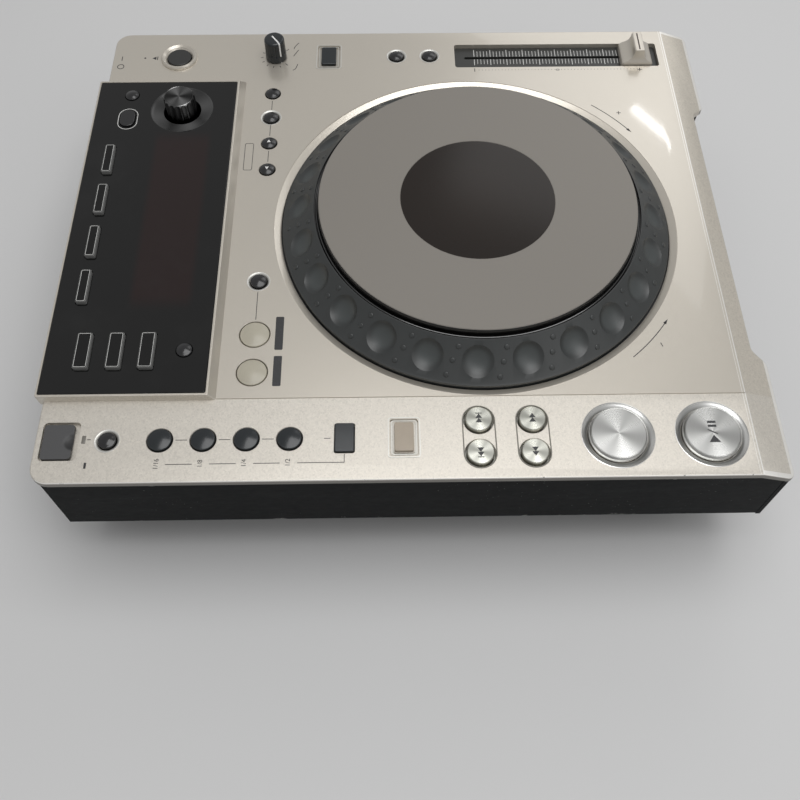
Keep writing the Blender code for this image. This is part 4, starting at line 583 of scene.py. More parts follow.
@once
def mains_can():
    """Plated can whose inlet is black plastic."""
    finish = Finish("mains_can", metallic=1.0, roughness=0.4)
    spangle = finish.cells(160.0)
    inlet = finish.axes()[1].over(REAR_PANEL_Y - 0.0030)
    steel = finish.blend(spangle, (0.48, 0.49, 0.50), (0.62, 0.63, 0.64))
    finish.put(base=finish.blend(inlet, steel, (0.013, 0.013, 0.014)), metal=1 - inlet,
               rough=0.30 + spangle * 0.18)
    return finish


@once
def ink(name, tint):
    """Printed marks, rubbed very slightly."""
    finish = Finish(name, roughness=0.45)
    wear = finish.noise(700.0, 3.0)
    finish.put(base=finish.blend(wear.ramp(0.45, 0.8), tint, shade(tint, 1.35)), rough=0.4 + 0.1 * wear)
    return finish


def dark_ink():
    return ink("dark_ink", tuple(tints().mark))


def pale_ink():
    return ink("pale_ink", tuple(tints().bright))


def white_ink():
    return ink("white_ink", (0.80, 0.80, 0.78))


# Modelling helpers

def take_up(*pieces):
    """Selects only these pieces, the first one active."""
    bpy.ops.object.select_all(action="DESELECT")
    for piece in pieces:
        piece.select_set(True)
    bpy.context.view_layer.objects.active = pieces[0]
    return pieces[0]


@contextmanager
def shaping(piece):
    """Edit mode on one piece, all of it selected."""
    take_up(piece)
    bpy.ops.object.mode_set(mode="EDIT")
    bpy.context.tool_settings.mesh_select_mode = (True, False, False)
    bpy.ops.mesh.select_all(action="SELECT")
    yield
    bpy.ops.object.mode_set(mode="OBJECT")


def choose(kind, test):
    """Selects the points, edges or faces that pass a test of their middle and of themselves."""
    bpy.context.tool_settings.mesh_select_mode = tuple(kind == k for k in ("VERT", "EDGE", "FACE"))
    bpy.ops.mesh.select_all(action="DESELECT")
    mesh = bmesh.from_edit_mesh(bpy.context.object.data)
    mesh.normal_update()
    parts = {"VERT": mesh.verts, "EDGE": mesh.edges, "FACE": mesh.faces}[kind]
    found = 0
    for part in parts:
        if kind == "VERT":
            spot = part.co
        else:
            spot = sum((v.co for v in part.verts), Vector()) / len(part.verts)
        if test(spot, part):
            part.select_set(True)
            found += 1
    bmesh.update_edit_mesh(bpy.context.object.data)
    return found


def started(name):
    """Names the primitive just added and lays its place into its mesh."""
    piece = bpy.context.object
    piece.name = name
    bpy.ops.object.transform_apply(location=True, rotation=True, scale=True)
    return piece


def settled(piece):
    take_up(piece)
    bpy.ops.object.transform_apply(location=True, rotation=True, scale=True)
    return piece


def smoothed(piece, degrees=32):
    take_up(piece)
    bpy.ops.object.shade_smooth_by_angle(angle=math.radians(degrees))
    return piece


def modified(piece, kind, **settings):
    """Adds a modifier with its settings and applies it."""
    step = piece.modifiers.new("step", kind)
    for name, value in settings.items():
        setattr(step, name, value)
    take_up(piece)
    bpy.ops.object.modifier_apply(modifier="step")
    return piece


def evened(piece, degrees=32):
    """Smooths a piece and keeps its broad faces flat."""
    return modified(smoothed(piece, degrees), "WEIGHTED_NORMAL", keep_sharp=True)


def turned(name, outline, steps, centre=(0, 0, 0)):
    """Draws a circle up along (radius, height) points; an outline off the axis closes on itself."""
    points = [(max(r, SPECK), z) for r, z in outline]
    closed = outline[0][0] > 0 and outline[-1][0] > 0
    if closed:
        points.append(points[0])
    bpy.ops.object.select_all(action="DESELECT")
    radius, height = points[0]
    bpy.ops.mesh.primitive_circle_add(vertices=steps, radius=radius, location=(0, 0, height))
    piece = started(name)
    with shaping(piece):
        for r, z in points[1:]:
            bpy.ops.mesh.extrude_region_move(TRANSFORM_OT_translate={"value": (0, 0, z - height)})
            bpy.ops.transform.resize(value=(r / radius, r / radius, 1), center_override=(0, 0, z))
            radius, height = r, z
        bpy.ops.mesh.select_all(action="SELECT")
        bpy.ops.mesh.remove_doubles(threshold=SPECK * 8)
        bpy.ops.mesh.normals_make_consistent(inside=False)
    piece.location = centre
    return settled(piece)


def plate(name, width, depth, corner, levels, segments=5, centre=(0, 0, 0)):
    """A round-cornered plate, drawn up by (inward, upward) steps from its underside."""
    bpy.ops.object.select_all(action="DESELECT")
    bpy.ops.mesh.primitive_plane_add(size=1)
    piece = started(name)
    with shaping(piece):
        bpy.ops.transform.resize(value=(width, depth, 1))
        if corner > 0:
            bpy.ops.mesh.bevel(offset=corner, segments=segments, affect="VERTICES")
            bpy.ops.mesh.select_all(action="SELECT")
        for inward, upward in levels:
            if inward == 0:
                bpy.ops.mesh.extrude_region_move(TRANSFORM_OT_translate={"value": (0, 0, upward)})
            else:
                bpy.ops.mesh.inset(thickness=inward, depth=upward)
        bpy.ops.mesh.select_all(action="SELECT")
        bpy.ops.mesh.normals_make_consistent(inside=False)
    piece.location = centre
    return settled(piece)


def round_top(edge, crown=0.0, steps=4):
    """Inward and upward steps over a round edge and a low crown, for plate."""
    levels = []
    for i in range(steps):
        a, b = (i / steps * TURN / 4, (i + 1) / steps * TURN / 4)
        levels.append((edge * (math.cos(a) - math.cos(b)), edge * (math.sin(b) - math.sin(a))))
    if crown:
        levels.append((edge, crown))
    return levels


def cap_levels(node):
    """Steps of a square key: its hidden flange, its wall and its round edge."""
    keys = bpy.context.scene.player_buttons
    low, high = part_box(node)
    wall = high.z - low.z - 0.0010 - keys.cap_edge
    return [(0, 0.0010), (keys.flange, 0), (0, wall)] + round_top(keys.cap_edge)


def dome(radius, low, top, edge, crown, steps=5):
    """Outline from the foot of a wall over a round edge and a crown to the middle."""
    shoulder = top - crown
    points = [(radius, low)]
    for i in range(steps + 1):
        a = i / steps * TURN / 4
        points.append((radius - edge + edge * math.cos(a), shoulder - edge + edge * math.sin(a)))
    reach = radius - edge
    for i in range(1, steps + 1):
        share = 1 - i / steps
        points.append((reach * share, shoulder + crown * (1 - share * share)))
    return points


def carved(piece, tools, operation="DIFFERENCE"):
    """Cuts or adds joined tools and removes them."""
    tool = joined("tool", tools)
    modified(piece, "BOOLEAN", operation=operation, solver="EXACT", object=tool)
    bpy.data.objects.remove(tool)
    return piece


def joined(name, pieces):
    take_up(*pieces)
    if len(pieces) > 1:
        bpy.ops.object.join()
    piece = bpy.context.object
    piece.name = name
    return settled(piece)


def copied(piece, name, shift=(0, 0, 0), angle=0.0):
    """A copy with its own mesh, turned about Z and moved."""
    twin = piece.copy()
    twin.data = piece.data.copy()
    twin.name = name
    bpy.context.collection.objects.link(twin)
    twin.data.transform(Matrix.Translation(shift) @ Matrix.Rotation(angle, 4, "Z"))
    return twin


def coated(piece, material):
    """Gives a piece one finish over all of it."""
    piece.data.materials.clear()
    piece.data.materials.append(material)


def dressed(piece, material, body, *nodes, slot=None):
    """Gives a piece its finish and its body, and the nodes that it stands for."""
    coated(piece, material)
    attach(piece, body)
    if nodes:
        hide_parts(*nodes)
    return piece


# Printed marks

def line(start, end, width, z):
    """A flat stroke between two points in plan."""
    a, b = Vector(start), Vector(end)
    bpy.ops.object.select_all(action="DESELECT")
    bpy.ops.mesh.primitive_plane_add(size=1, location=(*((a + b) / 2), z))
    piece = bpy.context.object
    piece.rotation_euler.z = math.atan2(b.y - a.y, b.x - a.x)
    piece.scale = ((b - a).length, width, 1)
    return piece


def wedge(centre, radius, angle, z, sides=3, stretch=1.0):
    """A filled triangle or disc; a triangle's first corner points along the angle."""
    bpy.ops.object.select_all(action="DESELECT")
    bpy.ops.mesh.primitive_circle_add(
        vertices=sides, radius=radius, fill_type="NGON", location=(*centre, z))
    piece = bpy.context.object
    piece.rotation_euler.z = angle - TURN / 4
    piece.scale = (stretch, 1, 1)
    return piece


def outline_mark(width, depth, corner, thick, centre, z, segments=5):
    """A closed flat line round a rectangle, or round a circle where corner is half the width."""
    bpy.ops.object.select_all(action="DESELECT")
    if corner * 2 >= width and corner * 2 >= depth:
        bpy.ops.mesh.primitive_circle_add(vertices=48, radius=corner, fill_type="NGON")
        piece = started("mark")
    else:
        bpy.ops.mesh.primitive_plane_add(size=1)
        piece = started("mark")
        with shaping(piece):
            bpy.ops.transform.resize(value=(width, depth, 1))
            bpy.ops.mesh.bevel(offset=corner, segments=segments, affect="VERTICES")
    with shaping(piece):
        bpy.context.tool_settings.mesh_select_mode = (False, False, True)
        bpy.ops.mesh.inset(thickness=thick)
        bpy.ops.mesh.delete(type="FACE")
    piece.location = (*centre, z)
    return piece


def figures(text, size, centre, z, angle=0.0):
    """Numbers or a sign, as a flat mesh."""
    bpy.ops.object.select_all(action="DESELECT")
    bpy.ops.object.text_add(location=(*centre, z), rotation=(0, 0, angle))
    piece = bpy.context.object
    piece.data.body = text
    piece.data.size = size
    piece.data.align_x = "CENTER"
    piece.data.align_y = "CENTER"
    bpy.ops.object.convert(target="MESH")
    return bpy.context.object


def printed(name, marks, material, body, over=None):
    """Joins flat marks, lays them over a domed piece if one is given, and adds the ink's thickness."""
    piece = joined(name, marks)
    if over:
        with shaping(piece):
            bpy.ops.mesh.subdivide(number_cuts=3)
        modified(piece, "SHRINKWRAP", target=over, wrap_method="PROJECT", use_project_z=True,
                 use_negative_direction=True, use_positive_direction=True, offset=SPECK * 10)
    modified(piece, "SOLIDIFY", thickness=INK, offset=1.0)
    return dressed(piece, material, body)


# Buttons, as tables of places and sizes: radius, dish radius, dish depth

SMALL, BEAT, LOOP, SKIP, EJECT, BIG = 0.0042, 0.0058, 0.0074, 0.0068, 0.0071, 0.0139
CROWNS = {SMALL: 0.0009, BEAT: 0.0008, LOOP: 0.0013, SKIP: 0.0008, BIG: 0.0002}
SLIMMER = {SKIP: 0.0003, LOOP: 0.0001, BEAT: 0.0001}
DISHED = (SMALL, 0.0055, 0.0008)
LARGE = (BIG, 0.01675, 0.0013)
ROUND_KEYS = {
    "memory_button": (SMALL, 0, 0), "delete_button": DISHED,
    "call_next_button": (SMALL, 0, 0), "call_back_button": (SMALL, 0, 0),
    "reloop_button": DISHED, "usb_stop_button": DISHED,
    "master_tempo_button": DISHED, "tempo_range_button": DISHED,
    "loop_out_button": (LOOP, 0, 0), "loop_in_button": (LOOP, 0, 0),
    "beat_button_1": (BEAT, 0, 0), "beat_button_2": (BEAT, 0, 0),
    "beat_button_3": (BEAT, 0, 0), "beat_button_4": (BEAT, 0, 0),
    "eject_button": (EJECT, 0, 0),
    "play_button": LARGE, "cue_button": LARGE,
    "search_forward_button": (SKIP, 0, 0), "search_back_button": (SKIP, 0, 0),
    "track_forward_button": (SKIP, 0, 0), "track_back_button": (SKIP, 0, 0),
}
CAP_WIDTH, CAP_DEPTH = 0.0150, 0.0091
GLASS_KEY_WIDTH, SOURCE_DEPTH, MENU_DEPTH = 0.0205, 0.0073, 0.0054
BACK_WIDTH, BACK_DEPTH = 0.0125, 0.0082
CAPS = {"reverse_button": True, "beat_select_button": False, "jog_mode_button": True}
SOURCE_KEYS = ("computer_source_button", "stick_source_button", "disc_source_button")
MENU_KEYS = ("menu_button", "info_button", "tag_list_button", "browse_list_button")
MAINS_X = 0.0861
JACKS = {"right": -0.0296, "left": -0.0477, "digital": -0.0678, "control": -0.0075}
SCREWS = (
    (-0.1300, 0.0510), (-0.1300, 0.0790), (-0.0500, 0.0790), (0.0300, 0.0790), (0.1040, 0.0790),
    (0.0300, 0.0490), (0.1060, 0.0490), (-0.0750, 0.0490))
TEMPO_MIDDLE = (COLUMN_X, (-0.15655 - 0.03235) / 2)


def key_hole(node, radius, dish, depth):
    """Cutter for a round key, with a flared mouth or a dish."""
    gap = bpy.context.scene.player_buttons.clearance
    x, y, _ = middle(node)
    hole = radius + gap
    wide, deep = (dish, depth) if dish else (hole + 0.00025, 0.00025)
    slope = (wide - hole) / deep
    outline = [
        (0, 0.001), (wide + slope * 0.001, 0.001), (hole, -deep), (hole, -0.0045), (0, -0.0045)]
    return turned("hole", outline, 64, (x, y, DECK_Z))


class PLAYER_OT_deck(bpy.types.Operator):
    """Bent silver top plate with its well, display frame and openings"""
    bl_idname = "player.deck"
    bl_label = "Deck"

    def execute(self, context):
        sizes = context.scene.player_case
        keys = context.scene.player_buttons
        bpy.ops.object.select_all(action="DESELECT")
        bpy.ops.mesh.primitive_plane_add(size=1, location=(0, (NOSE_Y + DECK_REAR_Y) / 2, DECK_Z))
        deck = started("deck_plate")
        with shaping(deck):
            bpy.ops.transform.resize(value=(DECK_WIDTH, DECK_REAR_Y - NOSE_Y, 1))
            for rear, corner in ((True, sizes.rear_corner), (False, sizes.nose_corner)):
                choose("VERT", lambda spot, part: (spot.y > 0) == rear)
                bpy.ops.mesh.bevel(offset=corner, segments=8, affect="VERTICES")
            bends = [NOTCH_X + NOTCH_REACH * i / NOTCH_BENDS for i in range(NOTCH_BENDS + 1)]
            for bend in bends:
                for side in (-1, 1):
                    bpy.ops.mesh.select_all(action="SELECT")
                    bpy.ops.mesh.bisect(plane_co=(side * bend, 0, 0), plane_no=(1, 0, 0))
            for i, bend in enumerate(bends):
                ramp = 1 - i / NOTCH_BENDS
                choose("VERT", lambda spot, part: spot.y < 0 and abs(abs(spot.x) - bend) < 0.0002)
                back = NOTCH_DEPTH * ramp * ramp * (3 - 2 * ramp)
                bpy.ops.transform.translate(value=(0, back, 0))
            bpy.ops.mesh.select_all(action="SELECT")
            bpy.ops.mesh.bisect(plane_co=(0, BEVEL_Y, 0), plane_no=(0, 1, 0))
            mesh = bmesh.from_edit_mesh(deck.data)
            rows = sorted({round(v.co.y, 6) for v in mesh.verts if v.co.y < BEVEL_Y - 0.00001})
            for row in rows:
                choose("VERT", lambda spot, part: abs(spot.y - row) < 0.0000006)
                bpy.ops.transform.translate(value=(0, 0, (row - BEVEL_Y) * DOWN_SLOPE))
            choose("FACE", lambda spot, part: True)
            bpy.ops.mesh.dissolve_limited(angle_limit=math.radians(0.5))
            choose("FACE", lambda spot, part: True)
            bpy.ops.mesh.extrude_region_move(
                TRANSFORM_OT_translate={"value": (0, 0, DECK_UNDER_Z - DECK_Z)})
            bpy.ops.mesh.select_all(action="SELECT")
            bpy.ops.mesh.normals_make_consistent(inside=False)
            choose("EDGE", self.on_rim)
            bpy.ops.mesh.bevel(offset=sizes.edge, segments=5, affect="EDGES")
        carved(deck, self.raised(sizes), "UNION")
        carved(deck, self.openings(sizes, keys))
        evened(deck, 28)
        dressed(deck, silver_paint(), CASE, "deck", slot="silver_paint")
        return {"FINISHED"}

    @staticmethod
    def on_rim(spot, part):
        ups = [face.normal.z for face in part.link_faces]
        return len(ups) == 2 and max(ups) > 0.9 and abs(min(ups)) < 0.3

    @staticmethod
    def raised(sizes):
        """Display frame, eject ring and stick housing."""
        depth = REAR_Y - FRAME_REAR - DISPLAY_Y
        block = plate("display_frame", DISPLAY_WIDTH, depth, 0.0008, [(0, 0.0020), (0, sizes.display_rise)],
                      segments=4, centre=(0, DISPLAY_Y + depth / 2, DECK_Z - 0.0020))
        with shaping(block):
            for side, shift in (
                    (lambda spot: spot.y < 0.12, (0, FRAME_FRONT, 0)),
                    (lambda spot: spot.y > 0.12, (0, FRAME_REAR, 0)),
                    (lambda spot: spot.x < 0, (FRAME_LEFT, 0, 0)),
                    (lambda spot: spot.x > 0, (-FRAME_RIGHT, 0, 0))):
                choose("VERT", lambda spot, part: spot.z > DECK_Z + 0.001 and side(spot))
                bpy.ops.transform.translate(value=shift)
            choose("EDGE", lambda spot, part: spot.z > DECK_Z + 0.0044 and all(
                v.co.z > DECK_Z + 0.0044 for v in part.verts))
            bpy.ops.mesh.bevel(offset=0.0003, segments=2, affect="EDGES")
        x, y, _ = middle("eject_button")
        ring = [
            (0.0070, -0.0010), (0.0110, -0.0010), (0.0110, 0.0006), (0.01085, 0.0010), (0.0105, 0.0016),
            (0.0101, 0.0020), (0.0096, 0.0020), (0.0092, 0.0017), (0.0079, 0.0007), (0.0075, 0.0006)]
        bezel = turned("bezel", ring, 72, (x, y, DECK_Z))
        housing = plate("housing", 0.0154, 0.0080, 0.0014, [(0, 0.0135)], segments=3,
                        centre=(-COLUMN_X, 0.1642, DECK_UNDER_Z - 0.0131))
        return [block, bezel, housing]

    @staticmethod
    def openings(sizes, keys):
        """Every cutter of the deck: well, pocket, recesses, seam and key holes."""
        top = 0.001
        well = [(0, top), (0.1084, top), (0.1084, -0.00025), (0.1081, -0.00025), (0.1046, -0.0020),
                (0.1046, -0.0045), (0, -0.0045)]
        tools = [turned("well", well, 256, (0, JOG_Y, DECK_Z))]
        x0, x1 = -DISPLAY_WIDTH / 2 + FRAME_LEFT, DISPLAY_WIDTH / 2 - FRAME_RIGHT
        y0, y1 = DISPLAY_Y + FRAME_FRONT, REAR_Y
        rim = sizes.display_rim - 0.0003
        wide, deep = x1 - x0 - 2 * rim, y1 - y0 - 2 * rim
        lift = 0.0045 + 0.001
        floor = GLASS_Z - GLASS_THICK - 0.0003
        pocket = plate(
            "pocket", wide - 0.0070, deep - 0.0070, 0.0008, [(0, floor - DECK_UNDER_Z + 0.001)],
            centre=((x0 + x1) / 2, (y0 + y1) / 2, DECK_UNDER_Z - 0.001))
        shelf = plate(
            "shelf", wide, deep, 0.0008, [(0, DECK_Z + lift - floor)],
            centre=((x0 + x1) / 2, (y0 + y1) / 2, floor))
        tools += [pocket, shelf]
        lid = plate("lid_recess", 0.0201, 0.0176, 0.0022, [(0, 0.0024 + top)],
                    centre=(-COLUMN_X, 0.1640, DECK_Z - 0.0024))
        socket = plate("socket", 0.0126, 0.0052, 0.0004, [(0, 0.0125)],
                       centre=(-COLUMN_X, 0.1642, DECK_Z - 0.0024 - 0.0125))
        tempo = plate("tempo_recess", 0.0202, 0.1242, 0.0016, [(0, 0.0055)],
                      centre=(*TEMPO_MIDDLE, DECK_UNDER_Z - 0.001))
        seam_depth = DISPLAY_Y - BEVEL_Y
        seam = plate("seam", sizes.seam, seam_depth, 0, [(0, 0.0006 + top)],
                     centre=(SEAM_X, BEVEL_Y + seam_depth / 2, DECK_Z - 0.0006))
        tools += [lid, socket, tempo, seam]
        for node, recess in CAPS.items():
            x, y, _ = middle(node)
            gap = keys.clearance
            if recess:
                wall = plate("recess", CAP_WIDTH + 0.0044, CAP_DEPTH + 0.0044, 0.0012,
                             [(0, 0.0002), (-0.0008, 0.0015), (0, top)],
                             centre=(x, y, DECK_Z - 0.0017))
                tools.append(wall)
            tools.append(plate("cap_hole", CAP_WIDTH + 2 * gap, CAP_DEPTH + 2 * gap, 0.0012,
                               [(0, 0.0037 if recess else 0.0055)], centre=(x, y, DECK_UNDER_Z - 0.001)))
        for node, (radius, dish, depth) in ROUND_KEYS.items():
            tools.append(key_hole(node, radius, dish, depth))
        tools.append(key_hole("speed_knob", 0.0030, 0, 0))
        return tools


class PLAYER_OT_case(bpy.types.Operator):
    """Side covers, fascia, tray, rear panel and feet"""
    bl_idname = "player.case"
    bl_label = "Case"

    def execute(self, context):
        finishes = {
            "side_cover_left": black_cover(), "side_cover_right": black_cover(),
            "front_fascia": black_cover(), "chassis_tray": black_steel(), "rear_panel": black_steel(),
        }
        for name, material in finishes.items():
            coated(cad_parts[name], material)
        outline = [
            (0, 0.0100), (0.0150, 0.0100), (0.0135, 0.0012), (0.0132, 0.0004), (0.0125, 0.0), (0.0095, 0.0),
            (0.0090, 0.0006), (0, 0.0006)]
        foot = smoothed(turned("foot", outline, 64))
        for name in ("foot_front_left", "foot_front_right", "foot_rear_left", "foot_rear_right"):
            x, y, _ = middle(name)
            twin = copied(foot, name + "_rubber", (x, y, 0))
            dressed(twin, foot_rubber(), CASE, name, slot="foot_rubber")
        bpy.data.objects.remove(foot)
        return {"FINISHED"}


class PLAYER_OT_jog_ring(bpy.types.Operator):
    """Jog ring with its finger dimples and grip dots"""
    bl_idname = "player.jog_ring"
    bl_label = "Jog Ring"

    def execute(self, context):
        sizes = context.scene.player_jog
        start = (sizes.radius - 0.0012, 0.0006)
        end = (sizes.inner_radius, 0.0147)
        outline = [(0.0444, -0.0040), (0.0474, -0.0040), (0.0474, 0.0113), (0.0828, 0.0113),
                   (0.0976, 0.0006), (0.0976, -0.0040), (sizes.radius - 0.0012, -0.0040),
                   (sizes.radius, -0.0028), (sizes.radius, -0.0006)]
        for i in range(1, 4):
            a = i / 4 * TURN / 8
            outline.append((start[0] + 0.0012 * math.cos(a), start[1] - 0.0012 + 0.0012 * math.sin(a)))
        outline += [start, end, (end[0] - 0.0003, end[1]), (end[0] - 0.0006, end[1] - 0.0003),
                    (end[0] - 0.0006, end[1] - 0.0015)]
        for i in range(11):
            a = i / 10 * TURN / 2
            outline.append((0.0846 + 0.0008 * math.cos(a), end[1] - 0.0015 + 0.0011 * math.sin(a)))
        outline.append((0.0444, end[1] - 0.0015))
        ring = turned("ring", outline, 360, (0, JOG_Y, DECK_Z))
        slant = Vector((start[0] - end[0], end[1] - start[1]))
        normal = Vector((slant.y, slant.x)).normalized()
        mid = (Vector(start) + Vector(end)) / 2
        lean = Matrix.Rotation(math.atan2(normal.x, normal.y), 4, "Y")
        wide, deep = sizes.dimple_radius, sizes.dimple_depth
        ball = (wide * wide + deep * deep) / (2 * deep)
        bowl = [(0, 0.0020), (wide + 0.0012, 0.0020), (wide + 0.0003, 0.00012), (wide - 0.0001, -0.00004)]
        for i in range(1, 13):
            reach = wide * (1 - i / 12)
            bowl.append((reach, ball - deep - math.sqrt(ball * ball - reach * reach)))
        scoop = turned("scoop", bowl, 64)
        scoops = []
        for i in range(sizes.dimples):
            angle = math.radians(12.3) + i * TURN / sizes.dimples
            twin = copied(scoop, "scoop")
            twin.data.transform(
                Matrix.Translation((0, JOG_Y, DECK_Z)) @ Matrix.Rotation(angle, 4, "Z")
                @ Matrix.Translation((mid.x, 0, mid.y)) @ lean)
            scoops.append(twin)
        bpy.data.objects.remove(scoop)
        carved(ring, scoops)
        dots = []
        bump = [(0.0014, -0.0003), (0.0014, 0.0001), (0.00125, 0.00032), (0.0009, 0.0004), (0, 0.00042)]
        dot = turned("dot", bump, 16)
        for i in range(sizes.dimples):
            for shift, r in ((-1.2, 0.1002), (0, 0.0946), (1.3, 0.0893)):
                angle = math.radians(12.3 + shift) + (i + 0.5) * TURN / sizes.dimples
                height = start[1] + (start[0] - r) / (start[0] - end[0]) * (end[1] - start[1])
                twin = dot.copy()
                twin.data = dot.data.copy()
                bpy.context.collection.objects.link(twin)
                twin.data.transform(
                    Matrix.Translation((0, JOG_Y, DECK_Z)) @ Matrix.Rotation(angle, 4, "Z")
                    @ Matrix.Translation((r, 0, height)) @ lean)
                dots.append(twin)
        bpy.data.objects.remove(dot)
        grip = smoothed(joined("jog_grip_dots", dots), 50)
        dressed(grip, jog_rubber(), "jog_ring", slot="jog_rubber")
        ring.name = "jog_ring_dimpled"
        dressed(smoothed(ring, 22), jog_rubber(), "jog_ring", "jog_ring", slot="jog_rubber")
        return {"FINISHED"}


class PLAYER_OT_jog_plate(bpy.types.Operator):
    """Touch plate with its window, and the fixed base in the well"""
    bl_idname = "player.jog_plate"
    bl_label = "Jog Plate"

    def execute(self, context):
        sizes = context.scene.player_jog
        under = 0.0155
        top = 0.0185
        r = sizes.plate_radius
        w = sizes.window_radius
        outline = [(0, under), (r - 0.0004, under), (r, under + 0.0004), (r, top - 0.0013),
                   (r - 0.0001, top - 0.0008), (r - 0.0003, top - 0.0004), (r - 0.0006, top - 0.0002),
                   (r - 0.0008, top - 0.0002), (r - 0.0009, top), (w + 0.0002, top),
                   (w + 0.00008, top - 0.00012), (w - 0.00008, top - 0.00012), (w - 0.0002, top), (0, top)]
        piece = turned("jog_touch_plate", outline, 256, (0, JOG_Y, DECK_Z))
        dressed(smoothed(piece, 25), jog_plate(), "jog_plate", "jog_plate", slot="jog_plate")
        coated(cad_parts["jog_base"], drive_plastic())
        return {"FINISHED"}


class PLAYER_OT_round_keys(bpy.types.Operator):
    """Domed and spun round keys of the deck"""
    bl_idname = "player.round_keys"
    bl_label = "Round Keys"

    def execute(self, context):
        keys = context.scene.player_buttons
        metal = tuple(tints().metal)
        shapes = {}
        for node, (radius, _, _) in ROUND_KEYS.items():
            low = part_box(node)[0]
            x, y, top = middle(node)
            spun = node.startswith(("play", "cue", "search", "track"))
            crown = CROWNS.get(radius, 0.0001)
            edge = keys.edge
            if radius not in shapes:
                foot = low.z - top
                outline = [(0, foot), (radius + keys.flange, foot), (radius + keys.flange, foot + 0.0010)]
                slim = radius - SLIMMER.get(radius, 0)
                if spun:
                    step = slim / 14
                    outline += [
                        (slim, foot + 0.0010), (slim, -1.4 * step), (slim - 0.15 * step, -0.95 * step),
                        (slim - 0.7 * step, -0.3 * step), (slim - 0.85 * step, -0.12 * step),
                        (slim - 1.0 * step, -0.12 * step), (slim - 1.1 * step, -0.25 * step),
                        (slim - 1.25 * step, -0.10 * step), (slim * 0.5, -0.00002), (0, 0)]
                else:
                    outline += dome(slim, foot + 0.0010, 0, edge, crown, 8)
                shapes[radius] = smoothed(turned("key", outline, 96 if radius > 0.01 else 56), 30)
            piece = copied(shapes[radius], node + "_cap", (x, y, top))
            if spun:
                tint = metal if radius == BIG else shade(metal, 0.97)[:2] + (metal[2] * 0.90,)
                # The spun keys' colour carries painted highlight and shade sectors by angle.
                material = spun_metal("spun_" + node, (x, y), tint, 0.48, 1.36)
                slot = "spun_aluminium"
            elif node.startswith("loop"):
                material, slot = pale_plastic(), "pale_plastic"
            elif node.startswith("eject"):
                material = plain_plastic("eject_plastic", (0.028, 0.028, 0.027), 0.4, 0.0)
                slot = "slate_plastic"
            elif node.startswith("beat"):
                material, slot = slate_plastic(), "slate_plastic"
            else:
                material, slot = black_plastic(), "black_plastic"
            dressed(piece, material, node, node, slot=slot)
        for shape in shapes.values():
            bpy.data.objects.remove(shape)
        return {"FINISHED"}


class PLAYER_OT_square_keys(bpy.types.Operator):
    """Square caps of the two side strips"""
    bl_idname = "player.square_keys"
    bl_label = "Square Keys"

    def execute(self, context):
        keys = context.scene.player_buttons
        cap = plate("cap", CAP_WIDTH + 2 * keys.flange, CAP_DEPTH + 2 * keys.flange, 0.0018,
                    cap_levels("reverse_button"))
        evened(cap, 35)
        for node in CAPS:
            x, y, _ = middle(node)
            piece = copied(cap, node + "_cap", (x, y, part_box(node)[0].z))
            pale = node == "reverse_button"
            warm = plain_plastic("reverse_plastic", tuple(tints().lit), 0.36, 0.15)
            dressed(piece, warm if pale else slate_plastic(), node, node,
                    slot="pale_plastic" if pale else "slate_plastic")
        bpy.data.objects.remove(cap)
        return {"FINISHED"}


